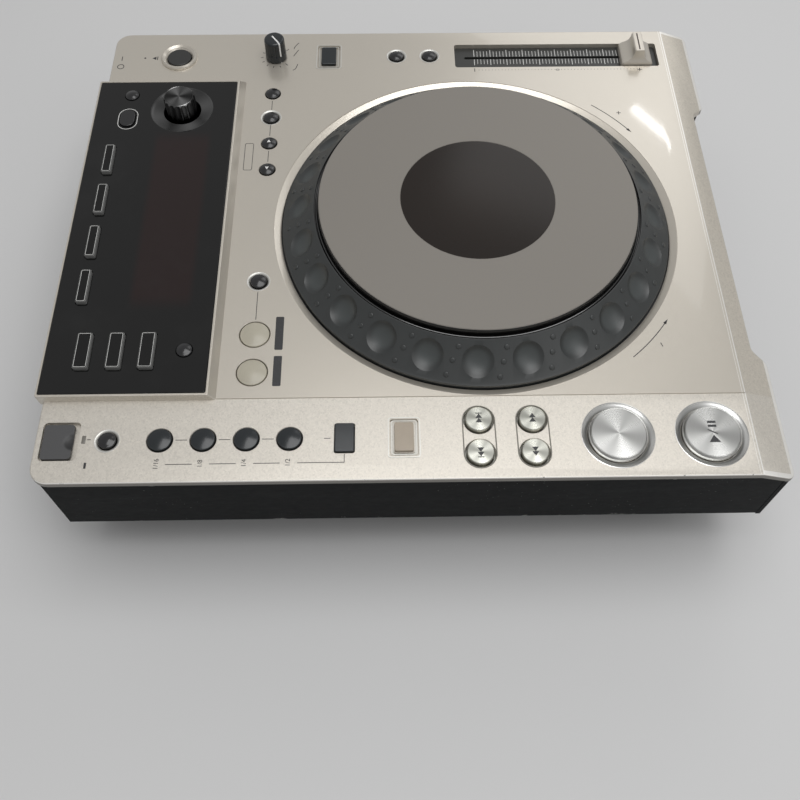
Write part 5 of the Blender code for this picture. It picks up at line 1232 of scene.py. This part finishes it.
class PLAYER_OT_display(bpy.types.Operator):
    """Display glass, its keys and the dish of the browse knob"""
    bl_idname = "player.display"
    bl_label = "Display"

    def execute(self, context):
        keys = context.scene.player_buttons
        low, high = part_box("display_glass")
        x, y, _ = middle("display_glass")
        under = GLASS_Z - GLASS_THICK
        glass = plate("display_window", high.x - low.x, high.y - low.y, 0.0008,
                      [(0, 0.0023)] + round_top(0.0003, steps=3), centre=(x, y, under))
        knob = middle("browse_knob")
        cup = [(0, -0.0062), (0.0120, -0.0062), (0.0120, -0.0013), (0, -0.0013)]
        carved(glass, [turned("cup", cup, 96, (knob.x, knob.y, GLASS_Z))], "UNION")
        dish = [
            (0, 0.001), (0.0188, 0.001), (0.0180, 0.00012), (0.0178, 0), (0.0172, -0.0004), (0.0160, -0.0009),
            (0.0142, -0.0012), (0.0121, -0.0014), (0.0108, -0.0014), (0.0108, -0.0050), (0.0034, -0.0050),
            (0.0034, -0.0080), (0, -0.0080)]
        tools = [turned("dish", dish, 128, (knob.x, knob.y, GLASS_Z))]
        gap = 2 * keys.clearance
        for node in SOURCE_KEYS + MENU_KEYS:
            x, y, _ = middle(node)
            depth = SOURCE_DEPTH if node in SOURCE_KEYS else MENU_DEPTH
            tools.append(plate("hole", GLASS_KEY_WIDTH + gap, depth + gap, 0.0012, [(0, 0.0050)],
                               centre=(x, y, under - 0.001)))
        x, y, _ = middle("back_button")
        tools.append(plate("hole", BACK_WIDTH + gap, BACK_DEPTH + gap, 0.0040, [(0, 0.0050)], 8,
                           (x, y, under - 0.001)))
        for node in ("tag_track_button", "time_mode_button"):
            x, y, _ = middle(node)
            column = [(0, 0.001), (0.0043, 0.001), (0.0043, -0.0040), (0, -0.0040)]
            tools.append(turned("hole", column, 48, (x, y, GLASS_Z)))
        carved(glass, tools)
        dressed(evened(glass, 35), black_glass(), CASE, "display_glass", slot="black_glass")
        self.glass_keys(keys)
        return {"FINISHED"}

    @staticmethod
    def glass_keys(keys):
        for nodes, width, depth, corner, material, slot in (
                (SOURCE_KEYS, GLASS_KEY_WIDTH, SOURCE_DEPTH, 0.0009, key_plastic(), "grey_plastic"),
                (MENU_KEYS, GLASS_KEY_WIDTH, MENU_DEPTH, 0.0009, key_plastic(), "grey_plastic"),
                (("back_button",), BACK_WIDTH, BACK_DEPTH, 0.0038, black_plastic(), "black_plastic")):
            low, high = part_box(nodes[0])
            shape = plate("key", width + 2 * keys.flange, depth + 2 * keys.flange, corner + keys.flange,
                          cap_levels(nodes[0]), 6)
            evened(shape, 35)
            for node in nodes:
                x, y, _ = middle(node)
                piece = copied(shape, node + "_cap", (x, y, low.z))
                dressed(piece, material, node, node, slot=slot)
                if corner < 0.002:
                    mark = outline_mark(width - 0.0011, depth - 0.0011, 0.0006, 0.00024, (x, y), high.z)
                    printed(node + "_line", [mark], pale_ink(), node)
            bpy.data.objects.remove(shape)
        low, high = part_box("tag_track_button")
        foot = low.z - high.z
        outline = [(0, foot), (0.0048, foot), (0.0048, foot + 0.0010)]
        outline += dome(0.0039, foot + 0.0010, 0, 0.0005, 0.0009, 8)
        shape = smoothed(turned("key", outline, 48), 30)
        for node in ("tag_track_button", "time_mode_button"):
            x, y, top = middle(node)
            piece = copied(shape, node + "_cap", (x, y, top))
            dressed(piece, black_plastic(), node, node, slot="black_plastic")
        bpy.data.objects.remove(shape)


class PLAYER_OT_knobs(bpy.types.Operator):
    """Fluted browse knob on its shaft, and the ribbed speed knob"""
    bl_idname = "player.knobs"
    bl_label = "Knobs"

    def execute(self, context):
        x, y, top = middle("browse_knob")
        foot = GLASS_Z - 0.0008 - top
        outline = [(0, foot + 0.004), (0.0034, foot + 0.004), (0.0034, foot), (0.0088, foot), (0.0088, -0.0012),
                   (0.0086, -0.0006), (0.0081, -0.0001), (0.0079, 0), (0.0077, -0.00015), (0.0074, -0.00015),
                   (0.0073, 0.0), (0, 0.0)]
        knob = turned("browse_knob_fluted", outline, 160)
        flutes = []
        groove = [
            (0, foot - 0.001), (0.0019, foot - 0.001), (0.0019, -0.0004), (0.0015, 0.0006), (0, 0.0006)]
        flute = turned("flute", groove, 20)
        for i in range(16):
            angle = i * TURN / 16
            flutes.append(copied(flute, "flute", (0.00995 * math.cos(angle), 0.00995 * math.sin(angle), 0)))
        bpy.data.objects.remove(flute)
        carved(knob, flutes)
        knob.data.transform(Matrix.Translation((x, y, top)))
        # Painted highlight: bright sectors on the knob's dark top, up to five times its tint.
        material = spun_metal("spun_black", (x, y), (0.050, 0.050, 0.050), 0.5, 5.0, 0.5)
        dressed(smoothed(knob, 30), material, "browse_knob", "browse_knob", slot="black_plastic")
        coated(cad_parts["browse_shaft"], zinc_steel())

        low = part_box("speed_knob")[0]
        x, y, top = middle("speed_knob")
        body = [
            (0, low.z), (0.0046, low.z), (0.0046, low.z + 0.0020), (0.0030, low.z + 0.0020),
            (0.0030, DECK_Z + 0.0006), (0.0062, DECK_Z + 0.0006), (0.0064, DECK_Z + 0.0009),
            (0.0062, DECK_Z + 0.0045), (0.0061, DECK_Z + 0.0048), (0.0060, top - 0.0014)]
        for i in range(1, 6):
            a = i / 5 * TURN / 4
            body.append((0.0048 + 0.0012 * math.cos(a), top - 0.0014 + 0.0012 * math.sin(a)))
        body.append((0, top))
        speed = turned("speed_knob_ribbed", body, 120)
        groove = [(0, DECK_Z + 0.0040), (0.0005, DECK_Z + 0.0044), (0.0005, top - 0.0018), (0, top - 0.0012)]
        rib = turned("rib", groove, 12)
        ribs = []
        for i in range(18):
            angle = (i + 0.5) * TURN / 18 + math.atan2(-0.56, -0.83)
            ribs.append(copied(rib, "rib", (0.0062 * math.cos(angle), 0.0062 * math.sin(angle), 0)))
        bpy.data.objects.remove(rib)
        carved(speed, ribs)
        speed.data.transform(Matrix.Translation((x, y, 0)))
        dressed(smoothed(speed, 30), slate_plastic(), "speed_knob", "speed_knob", slot="slate_plastic")
        toward = Vector((-0.83, -0.56)).normalized()
        home = Vector((x, y))
        pointer = line(home - toward * 0.0022, home + toward * 0.0050, 0.0009, top)
        pointer = printed("speed_knob_top_line", [pointer], white_ink(), "speed_knob")
        stripe = plate("stripe", 0.0006, 0.0009, 0, [(0, 0.0128)])
        stripe = copied(stripe, "stripe_down", (*(home + toward * 0.00585), DECK_Z + 0.0002),
                        math.atan2(toward.y, toward.x))
        bpy.data.objects.remove(bpy.data.objects["stripe"])
        corner = plate("corner", 0.0014, 0.0009, 0, [(0, 0.0005)])
        corner.data.transform(Matrix.Rotation(TURN / 8, 4, "Y"))
        corner = copied(corner, "stripe_corner", (*(home + toward * 0.0054), top - 0.0008),
                        math.atan2(toward.y, toward.x))
        bpy.data.objects.remove(bpy.data.objects["corner"])
        pointer = joined("speed_knob_line", [pointer, stripe, corner])
        dressed(pointer, white_ink(), "speed_knob")
        return {"FINISHED"}


class PLAYER_OT_tempo(bpy.types.Operator):
    """Waisted tempo slider over its ticked scale"""
    bl_idname = "player.tempo"
    bl_label = "Tempo Slider"

    def execute(self, context):
        x, y, top = middle("tempo_slider")
        foot, waist, tall = (0.0185, 0.0190), (0.0162, 0.0056), 0.0120
        shares = (
            (0.10, 0.0), (0.22, 0.02), (0.30, 0.10), (0.36, 0.26), (0.42, 0.46), (0.50, 0.66),
            (0.60, 0.82), (0.74, 0.92), (0.90, 0.965), (0.96, 0.985), (0.99, 1.02), (1.0, 1.08))
        bpy.ops.object.select_all(action="DESELECT")
        bpy.ops.mesh.primitive_plane_add(size=1)
        slider = started("tempo_slider_cap")
        with shaping(slider):
            bpy.ops.transform.resize(value=(*foot, 1))
            bpy.ops.mesh.bevel(offset=0.0012, segments=5, affect="VERTICES")
            bpy.ops.mesh.select_all(action="SELECT")
            (width, long), height = foot, 0.0
            for up, share in shares:
                z = up * tall
                wide, deep = (a + share * (b - a) for a, b in zip(foot, waist))
                bpy.ops.mesh.extrude_region_move(TRANSFORM_OT_translate={"value": (0, 0, z - height)})
                bpy.ops.transform.resize(value=(wide / width, deep / long, 1), center_override=(0, 0, z))
                width, long, height = wide, deep, z
            bpy.ops.mesh.select_all(action="SELECT")
            bpy.ops.mesh.normals_make_consistent(inside=False)
        slider.location = (x, y, top - tall)
        settled(slider)
        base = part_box("tempo_slider")[0]
        slot_x = COLUMN_X + SLOT_SHIFT
        stem = plate("stem", 0.0014, 0.0080, 0.0004, [(0, 0.0085)], centre=(slot_x, y, base.z))
        slider = joined("tempo_slider_cap", [slider, stem])
        dressed(smoothed(slider, 35), silver_paint(), "tempo_slider", "tempo_slider", slot="silver_paint")
        ridge = line((x - 0.0072, y + 0.0002), (x + 0.0072, y + 0.0002), 0.0008, top)
        printed("tempo_slider_line", [ridge], ink("brown_ink", (0.030, 0.014, 0.010)), "tempo_slider")

        low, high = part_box("tempo_scale")
        x, y, z = middle("tempo_scale")
        shelf = high.z + 0.0008
        scale = plate("tempo_scale_plate", high.x - low.x, high.y - low.y, 0.0030,
                      [(0, 0.0016), (0.0016, 0), (0, 0.0008)], centre=(x, y, z - 0.0016))
        track = plate("track", 0.0110, 0.1242, 0.0016, [(0, 0.0088)], centre=(slot_x, y, low.z))
        carved(scale, [track], "UNION")
        run = plate("run", 0.0020, 0.1090, 0.0008, [(0, 0.0110)],
                    centre=(slot_x, base.y + 0.0095 + 0.0500, low.z + 0.0012))
        carved(scale, [run])
        dark = plain_plastic("scale_plastic", (0.034, 0.035, 0.033), 0.4, 0.0)
        dressed(evened(scale, 30), dark, CASE, "tempo_scale", slot="black_plastic")
        ticks = []
        for i in range(TICKS):
            tick_y = TICK_Y - i * TICK_PITCH
            thick, right, left = (0.00042, 0.0072, 0.0062) if i % 5 == 0 else (0.00030, 0.0060, 0.0054)
            ticks.append(line((slot_x + 0.0012, tick_y), (slot_x + right, tick_y), thick, shelf))
            ticks.append(line((slot_x - 0.0012, tick_y), (slot_x - left, tick_y), thick, shelf))
        printed("tempo_scale_ticks", ticks, pale_ink(), CASE)
        return {"FINISHED"}


class PLAYER_OT_lid(bpy.types.Operator):
    """Hinged cover of the stick socket"""
    bl_idname = "player.lid"
    bl_label = "Stick Cover"

    def execute(self, context):
        low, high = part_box("usb_lid")
        x, y, top = middle("usb_lid")
        wide, deep = high.x - low.x, high.y - low.y
        lid = plate("usb_lid_cover", wide, deep, 0.0016, [(0, 0.0014)] + round_top(0.0003, steps=3),
                    centre=(x, y, top - 0.0017))
        scoop = [
            (0, 0.0010), (0.0056, 0.0010), (0.0050, 0), (0.0036, -0.0008), (0.0018, -0.0011), (0, -0.0012)]
        carved(lid, [turned("scoop", scoop, 48, (x, low.y, top))])
        dressed(evened(lid, 35), lid_plastic(), "usb_lid", "usb_lid", slot="slate_plastic")
        lens = plate("stick_lamp", 0.0042, 0.0019, 0.0003, [(0, 0.0002)] + round_top(0.0001, steps=2),
                     centre=(-0.1300, 0.1529, DECK_Z - 0.0002))
        dressed(smoothed(lens, 30), plain_plastic("lamp_plastic", (0.17, 0.16, 0.14), 0.25, 0.2), CASE)
        return {"FINISHED"}


def stadium_bead(centre):
    """Thin raised line round a pair of skip keys."""
    levels = [(0, 0.0006), (0.00015, 0.00018), (0.00028, 0), (0.00015, -0.00018)]
    bead = plate("bead", 0.0330, 0.0158, 0.00785, levels, 16, (*centre, DECK_Z - 0.0004))
    with shaping(bead):
        choose("FACE", lambda spot, part: part.normal.z > 0.9 and len(part.verts) > 8)
        bpy.ops.mesh.extrude_region_move(TRANSFORM_OT_translate={"value": (0, 0, -0.0006)})
        choose("FACE", lambda spot, part: abs(part.normal.z) > 0.9 and len(part.verts) > 8)
        bpy.ops.mesh.delete(type="FACE")
    return bead


class PLAYER_OT_trim(bpy.types.Operator):
    """Bright rings, beads and frames round the keys"""
    bl_idname = "player.trim"
    bl_label = "Trim"

    def execute(self, context):
        rings = []
        for node, (radius, dish, _) in ROUND_KEYS.items():
            x, y, _ = middle(node)
            if radius == BIG:
                # Grey spun lining of the big keys' dish: darker than the deck's silver partly as its own grey
                # and partly as painted shade, with painted highlight sectors.
                shade_liner = [
                    (0.01435, -0.0016), (0.01435, -0.0013), (0.0150, -0.0008), (0.0160, -0.0003),
                    (0.01675, 0.0000), (0.0171, 0.00025), (0.01735, 0.0002), (0.01745, -0.0003),
                    (0.0165, -0.0006), (0.0155, -0.0012)]
                piece = turned(node + "_ring", shade_liner, 128, (x, y, DECK_Z))
                metal = spun_metal("liner_" + node, (x, y), (0.42, 0.42, 0.41), 0.75, 2.3, -0.65)
                dressed(smoothed(piece, 40), metal, CASE)
            elif dish:
                outline = [
                    (0.0047, -0.0009), (0.0047, -0.0006), (0.0050, -0.0002), (0.0055, 0.0001),
                    (0.0058, 0.00025), (0.0061, 0.0002), (0.0062, -0.0002), (0.0054, -0.0004)]
                rings.append(turned("ring", outline, 64, (x, y, DECK_Z)))
        dressed(smoothed(joined("key_rings", rings), 40), bright_trim(), CASE)
        beads = []
        for y in (middle("search_forward_button").y, middle("track_forward_button").y):
            beads.append(stadium_bead((-COLUMN_X, y)))
        beads = smoothed(joined("skip_key_beads", beads), 40)
        dressed(beads, plain_plastic("bead_plastic", (0.23, 0.22, 0.19), 0.35, 0.0), CASE)
        frames = []
        for node in ("reverse_button", "jog_mode_button"):
            x, y, _ = middle(node)
            for grow, corner, thick, z in (
                    (0.0062, 0.0016, 0.0005, 0), (0.0030, 0.0011, 0.0004, -0.0003),
                    (0.0016, 0.0011, 0.0003, -0.0015)):
                frames.append(outline_mark(
                    CAP_WIDTH + grow, CAP_DEPTH + grow, corner, thick, (x, y), DECK_Z + z))
        piece = modified(joined("key_frames", frames), "SOLIDIFY", thickness=0.0003, offset=1.0)
        dressed(smoothed(piece, 30), bright_trim(), CASE)
        return {"FINISHED"}


class PLAYER_OT_marks(bpy.types.Operator):
    """Printed lines, signs and numbers"""
    bl_idname = "player.marks"
    bl_label = "Marks"

    def execute(self, context):
        z = DECK_Z
        printed("strip_marks", self.strip_marks(z), dark_ink(), CASE)
        printed("row_marks", self.row_marks(z), dark_ink(), CASE)
        printed("right_marks", self.right_marks(z), dark_ink(), CASE)
        x, y, _ = middle("back_button")
        ring = outline_mark(0.0164, 0.0112, 0.0055, 0.0004, (x, y), GLASS_Z, 10)
        printed("glass_marks", [ring], pale_ink(), CASE)
        self.key_signs()
        return {"FINISHED"}

    @staticmethod
    def strip_marks(z):
        """Beat numbers and their joining lines."""
        thin = 0.00034
        beats = [middle("beat_button_%d" % i) for i in (1, 2, 3, 4)]
        marks = []
        for a, b in zip(beats, beats[1:]):
            marks.append(line((a.x, a.y + 0.0074), (b.x, b.y - 0.0074), thin, z))
        for text, home in zip(("1/2", "1/4", "1/8", "1/16"), beats):
            marks.append(figures(text, 0.0032, (-0.1431, home.y + 0.0003), z))
        for a, b in zip(beats, beats[1:]):
            marks.append(line((-0.1433, a.y + 0.0040), (-0.1433, b.y - 0.0040), thin, z))
        end = middle("beat_select_button")
        marks.append(line((-0.1433, beats[0].y - 0.0040), (-0.1433, end.y - thin / 2), thin, z))
        marks.append(line((-0.1433, end.y), (end.x - 0.0062 - 0.0020, end.y), thin, z))
        marks.append(line((end.x, end.y + 0.0066), (end.x, end.y + 0.0096), thin, z))
        marks.append(line((-0.1449, 0.1504), (-0.1419, 0.1504), 0.0011, z))
        marks.append(line((-0.1300, 0.1513), (-0.1300, 0.1497), 0.00034, z))
        return marks

    @staticmethod
    def row_marks(z):
        """Lines and plates beside the row between wheel and display."""
        thin = 0.00034
        marks = []
        for a, b in (("memory_button", "delete_button"), ("delete_button", "call_next_button"),
                     ("call_next_button", "call_back_button")):
            pa, pb = middle(a), middle(b)
            marks.append(line((pa.x - 0.0060, pa.y), (pb.x + 0.0060, pb.y), thin, z))
        loop, out = middle("reloop_button"), middle("loop_out_button")
        marks.append(line((loop.x - 0.0068, loop.y), (out.x + 0.0090, out.y), thin, z))
        marks.append(outline_mark(0.0206, 0.0050, 0.0010, 0.00030, (0.0487, 0.0880), z))
        for x, wide in ((-0.0714, 0.0198), (-0.0935, 0.0172)):
            marks.append(PLAYER_OT_marks.filled(wide, 0.0041, 0.0006, (x, 0.0646), z))
        return marks

    @staticmethod
    def right_marks(z):
        """Signs of the right strip, and the arrows beside the wheel."""
        marks = []
        for i in range(TICKS):
            if i % 25:
                marks.append(wedge((0.1182, TICK_Y - i * TICK_PITCH), 0.00024, 0, z, 8))
        marks.append(line((0.1168, -0.0440), (0.1196, -0.0440), 0.00045, z))
        marks.append(figures("0", 0.0032, (0.1180, -0.0944), z))
        marks.append(line((0.1164, -0.1440), (0.1192, -0.1440), 0.00045, z))
        marks.append(line((0.1178, -0.1426), (0.1178, -0.1454), 0.00045, z))
        marks.append(wedge((0.1308, 0.1503), 0.0016, TURN / 4, z))
        marks.append(line((0.1293, 0.1487), (0.1323, 0.1487), 0.0005, z))
        marks.append(wedge((0.1310, 0.1563), 0.00060, 0, z, 16))
        marks.append(outline_mark(0.0042, 0.0042, 0.0021, 0.00045, (0.1236, 0.1702), z))
        marks.append(line((0.1289, 0.1702), (0.1326, 0.1702), 0.00045, z))
        for start, sign in ((-40.0, 1), (-140.2, -1)):
            reach = 0.1144
            spots = []
            for i in range(9):
                angle = math.radians(start - sign * 1.77 * i)
                spots.append((reach * math.cos(angle), JOG_Y + reach * math.sin(angle)))
            marks += [line(a, b, 0.00045, z) for a, b in zip(spots, spots[1:])]
            way = Vector(spots[-1]) - Vector(spots[-2])
            marks.append(wedge(spots[-1], 0.0022, math.atan2(way.y, way.x), z, 3, 0.45))
        marks.append(line((0.0797, -0.1262), (0.0823, -0.1262), 0.0004, z))
        marks.append(line((0.0810, -0.1249), (0.0810, -0.1275), 0.0004, z))
        marks.append(line((-0.0796, -0.1254), (-0.0818, -0.1262), 0.0004, z))
        knob = middle("speed_knob")
        home = Vector((knob.x, knob.y))
        for i in range(11):
            angle = math.radians(225 - 27 * i)
            out = Vector((math.cos(angle), math.sin(angle)))
            far = 0.0102 if i in (0, 10) else 0.0094
            marks.append(line(home + out * 0.0080, home + out * far, 0.0004, z))
        for x, bend in ((0.1404, 1), (0.1340, 0), (0.1215, -1)):
            for i in range(5):
                a = (x - 0.0022 + 0.0011 * i, 0.0660 - 0.0028 * (i / 5) ** (1 + bend * 0.6))
                b = (x - 0.0022 + 0.0011 * (i + 1), 0.0660 - 0.0028 * ((i + 1) / 5) ** (1 + bend * 0.6))
                marks.append(line(a, b, 0.0004, z))
        return marks

    @staticmethod
    def filled(width, depth, corner, centre, z):
        bpy.ops.object.select_all(action="DESELECT")
        bpy.ops.mesh.primitive_plane_add(size=1)
        piece = started("mark")
        with shaping(piece):
            bpy.ops.transform.resize(value=(width, depth, 1))
            bpy.ops.mesh.bevel(offset=corner, segments=4, affect="VERTICES")
        piece.location = (*centre, z)
        return piece

    @staticmethod
    def key_signs():
        """Signs on the spun keys and call keys, each riding on its own key."""
        for node, turn, bar in (
                ("search_forward_button", 1, False), ("search_back_button", -1, False),
                ("track_forward_button", 1, True), ("track_back_button", -1, True)):
            x, y, top = middle(node)
            angle = 0 if turn > 0 else TURN / 2
            marks = [wedge((x - turn * 0.0012, y), 0.0016, angle, top, 3, 1.15),
                     wedge((x + turn * 0.0011, y), 0.0016, angle, top, 3, 1.15)]
            if bar:
                bar_x = x + turn * 0.0029
                marks.append(line((bar_x, y - 0.0015), (bar_x, y + 0.0015), 0.0005, top))
            printed(node + "_sign", marks, dark_ink(), node, bpy.data.objects[node + "_cap"])
        for node, angle in (("call_next_button", 0), ("call_back_button", TURN / 2)):
            x, y, top = middle(node)
            printed(node + "_sign", [wedge((x, y), 0.0013, angle, top)], white_ink(), node,
                    bpy.data.objects[node + "_cap"])
        x, y, top = middle("play_button")
        marks = [wedge((x - 0.0042, y), 0.0026, 0, top, 3, 1.2),
                 line((x - 0.0012, y - 0.0020), (x + 0.0012, y + 0.0024), 0.0005, top),
                 line((x + 0.0031, y - 0.0020), (x + 0.0031, y + 0.0020), 0.0012, top),
                 line((x + 0.0052, y - 0.0020), (x + 0.0052, y + 0.0020), 0.0012, top)]
        marks[2].rotation_euler.z = TURN / 4
        marks[3].rotation_euler.z = TURN / 4
        printed("play_button_sign", marks, dark_ink(), "play_button", bpy.data.objects["play_button_cap"])


class PLAYER_OT_inside(bpy.types.Operator):
    """Finishes of the drive, boards, mains parts and jacks"""
    bl_idname = "player.inside"
    bl_label = "Inside"

    def execute(self, context):
        finishes = {
            "drive_base": drive_plastic(), "drive_cover": zinc_steel(), "disc_spindle": drive_plastic(),
            "main_board": circuit_board(), "mains_unit": mains_can(), "power_switch": black_plastic(),
        }
        for name, material in finishes.items():
            coated(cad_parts[name], material)
        self.jack_collars()
        self.inlet_pins()
        self.screws()
        return {"FINISHED"}

    @staticmethod
    def jack_collars():
        """Coloured collars of the phono jacks, and a nut on the control jack."""
        outline = [
            (0.0043, 0.0), (0.0054, 0.0), (0.0054, 0.0005), (0.0051, 0.0008),
            (0.0046, 0.0008), (0.0043, 0.0006)]
        for name, x, tint in (
                ("right_jack_collar", JACKS["right"], (0.42, 0.030, 0.025)),
                ("left_jack_collar", JACKS["left"], (0.62, 0.61, 0.58)),
                ("digital_jack_collar", JACKS["digital"], (0.55, 0.19, 0.020)),
                ("control_jack_collar", JACKS["control"], (0.030, 0.030, 0.032))):
            collar = turned(name, outline, 40)
            if name.startswith("control"):
                collar.data.transform(Matrix.Scale(0.75, 4))
            collar.data.transform(Matrix.Rotation(-TURN / 4, 4, "X"))
            collar.data.transform(Matrix.Translation((x, REAR_PANEL_Y, JACK_Z)))
            dressed(smoothed(collar, 35), plain_plastic(name + "_plastic", tint, 0.35, 0.1), CASE)

    @staticmethod
    def inlet_pins():
        """The two flat pins of the mains inlet."""
        pins = []
        for side in (-1, 1):
            pin = plate("pin", 0.0014, 0.0026, 0.0003, [(0, 0.0080), (0.0003, 0.0006)], segments=3)
            pin.data.transform(Matrix.Rotation(-TURN / 4, 4, "X"))
            pin.data.transform(Matrix.Translation((MAINS_X + side * 0.0040, REAR_PANEL_Y - 0.0098, JACK_Z)))
            pins.append(pin)
        dressed(smoothed(joined("inlet_pins", pins), 35), bright_trim(), CASE)

    @staticmethod
    def screws():
        """Screws of the rear panel, each with a cross in its head."""
        outline = [
            (0, -0.0004), (0.0026, -0.0004), (0.0026, 0.0004), (0.0021, 0.0010),
            (0.0012, 0.0013), (0, 0.0014)]
        head = turned("screw", outline, 32)
        for angle in (0, TURN / 4):
            cross = plate("cross", 0.0028, 0.0006, 0, [(0, 0.0012)], centre=(0, 0, 0.0006))
            cross.data.transform(Matrix.Rotation(angle, 4, "Z"))
            carved(head, [cross])
        heads = []
        for x, z in SCREWS:
            twin = copied(head, "screw")
            twin.data.transform(Matrix.Rotation(-TURN / 4, 4, "X"))
            twin.data.transform(Matrix.Translation((x, REAR_PANEL_Y, z)))
            heads.append(twin)
        bpy.data.objects.remove(head)
        dressed(smoothed(joined("rear_screws", heads), 35), black_steel(), CASE)


class PLAYER_OT_stage(bpy.types.Operator):
    """Pale floor, soft lamps and the camera"""
    bl_idname = "player.stage"
    bl_label = "Stage"

    def execute(self, context):
        scene = context.scene
        bpy.ops.object.select_all(action="DESELECT")
        bpy.ops.mesh.primitive_plane_add(size=6)
        floor = started("floor")
        finish = Finish("floor", roughness=0.9)
        tone = finish.noise(3.0, 3.0)
        c = tints().floor
        finish.put(base=finish.blend(tone, shade(c, 0.985), shade(c, 1.015)))
        floor.data.materials.append(finish.material)

        world = bpy.data.worlds.new("studio")
        scene.world = world
        world.use_nodes = True
        tree = world.node_tree
        path = tree.nodes.new("ShaderNodeLightPath")
        seen = tree.nodes.new("ShaderNodeMath")
        seen.operation = "MAXIMUM"
        also = tree.nodes.new("ShaderNodeMath")
        also.operation = "MAXIMUM"
        tree.links.new(path.outputs["Is Camera Ray"], seen.inputs[0])
        tree.links.new(path.outputs["Is Transmission Ray"], seen.inputs[1])
        tree.links.new(seen.outputs[0], also.inputs[0])
        tree.links.new(path.outputs["Is Glossy Ray"], also.inputs[1])
        sky = tree.nodes["Background"]
        sky.inputs["Color"].default_value = (0.80, 0.80, 0.80, 1)
        sky.inputs["Strength"].default_value = 0.42
        pale = tree.nodes.new("ShaderNodeBackground")
        pale.inputs["Color"].default_value = (0.72, 0.72, 0.72, 1)
        pale.inputs["Strength"].default_value = 0.62
        mix = tree.nodes.new("ShaderNodeMixShader")
        tree.links.new(also.outputs[0], mix.inputs[0])
        tree.links.new(sky.outputs[0], mix.inputs[1])
        tree.links.new(pale.outputs[0], mix.inputs[2])
        tree.links.new(mix.outputs[0], tree.nodes["World Output"].inputs["Surface"])

        middle_of_case = (0, 0, 0.05)
        for name, place, target, size, roll, power in (
                ("overhead", (-0.05, -0.16, 1.25), middle_of_case, (0.9, 0.9), 0, 7.3),
                ("glint", (0.901, -0.476, 0.885), (0.068, -0.138, 0.089), (0.11, 0.0154), 156.6, 0.07),
                ("side", (0.95, -0.45, 0.85), middle_of_case, (0.60, 0.60), 0, 1.1),
                ("front", (-0.55, -0.75, 0.90), middle_of_case, (0.7, 0.7), 0, 1.0)):
            lamp = bpy.data.lights.new(name, "AREA")
            lamp.energy = power
            lamp.shape = "RECTANGLE"
            lamp.size, lamp.size_y = size
            turn = (Vector(target) - Vector(place)).to_track_quat("-Z", "Y")
            turn = turn @ Quaternion((0, 0, 1), math.radians(roll))
            item = bpy.data.objects.new(name, lamp)
            scene.collection.objects.link(item)
            item.location = place
            item.rotation_euler = turn.to_euler()

        camera_data = bpy.data.cameras.new("photo_camera")
        camera_data.sensor_width = 36.0
        camera_data.lens = 903.19 / 800 * 36.0
        camera = bpy.data.objects.new("photo_camera", camera_data)
        scene.collection.objects.link(camera)
        forward = Vector((0.49339942, -0.01137653, -0.86972846))
        right = Vector((-0.01598122, -0.99986424, 0.00401258))
        up = right.cross(forward)
        turn = Matrix((right, up, -forward)).transposed()
        camera.matrix_world = Matrix.Translation((-0.324288, 0.009814, 0.465588)) @ turn.to_4x4()
        scene.camera = camera
        scene.view_settings.view_transform = "Standard"
        return {"FINISHED"}


STEPS = (
    PLAYER_OT_stage, PLAYER_OT_deck, PLAYER_OT_case, PLAYER_OT_jog_ring, PLAYER_OT_jog_plate,
    PLAYER_OT_round_keys, PLAYER_OT_square_keys, PLAYER_OT_display, PLAYER_OT_knobs, PLAYER_OT_tempo,
    PLAYER_OT_lid, PLAYER_OT_trim, PLAYER_OT_marks, PLAYER_OT_inside,
)


class PLAYER_PT_panel(bpy.types.Panel):
    """Lists the player's sizes, colours and building steps"""
    bl_idname = "PLAYER_PT_panel"
    bl_label = "Disc Player"
    bl_space_type = "VIEW_3D"
    bl_region_type = "UI"
    bl_category = "Disc Player"

    def draw(self, context):
        for group in (context.scene.player_case, context.scene.player_jog, context.scene.player_buttons,
                      context.scene.player_colours):
            box = self.layout.box()
            for name in group.__annotations__:
                box.prop(group, name)
        for step in STEPS:
            self.layout.operator(step.bl_idname)


GROUPS = {
    "player_case": CaseSizes, "player_jog": JogSizes,
    "player_buttons": ButtonSizes, "player_colours": Colours,
}


def register():
    for name, group in GROUPS.items():
        bpy.utils.register_class(group)
        setattr(bpy.types.Scene, name, PointerProperty(type=group))
    for step in STEPS:
        bpy.utils.register_class(step)
    bpy.utils.register_class(PLAYER_PT_panel)


def unregister():
    bpy.utils.unregister_class(PLAYER_PT_panel)
    for step in reversed(STEPS):
        bpy.utils.unregister_class(step)
    for name, group in GROUPS.items():
        delattr(bpy.types.Scene, name)
        bpy.utils.unregister_class(group)


def main():
    register()
    bpy.ops.player.stage()
    bpy.ops.player.deck()
    bpy.ops.player.case()
    bpy.ops.player.jog_ring()
    bpy.ops.player.jog_plate()
    bpy.ops.player.round_keys()
    bpy.ops.player.square_keys()
    bpy.ops.player.display()
    bpy.ops.player.knobs()
    bpy.ops.player.tempo()
    bpy.ops.player.lid()
    bpy.ops.player.trim()
    bpy.ops.player.marks()
    bpy.ops.player.inside()


if __name__ == "__main__":
    main()
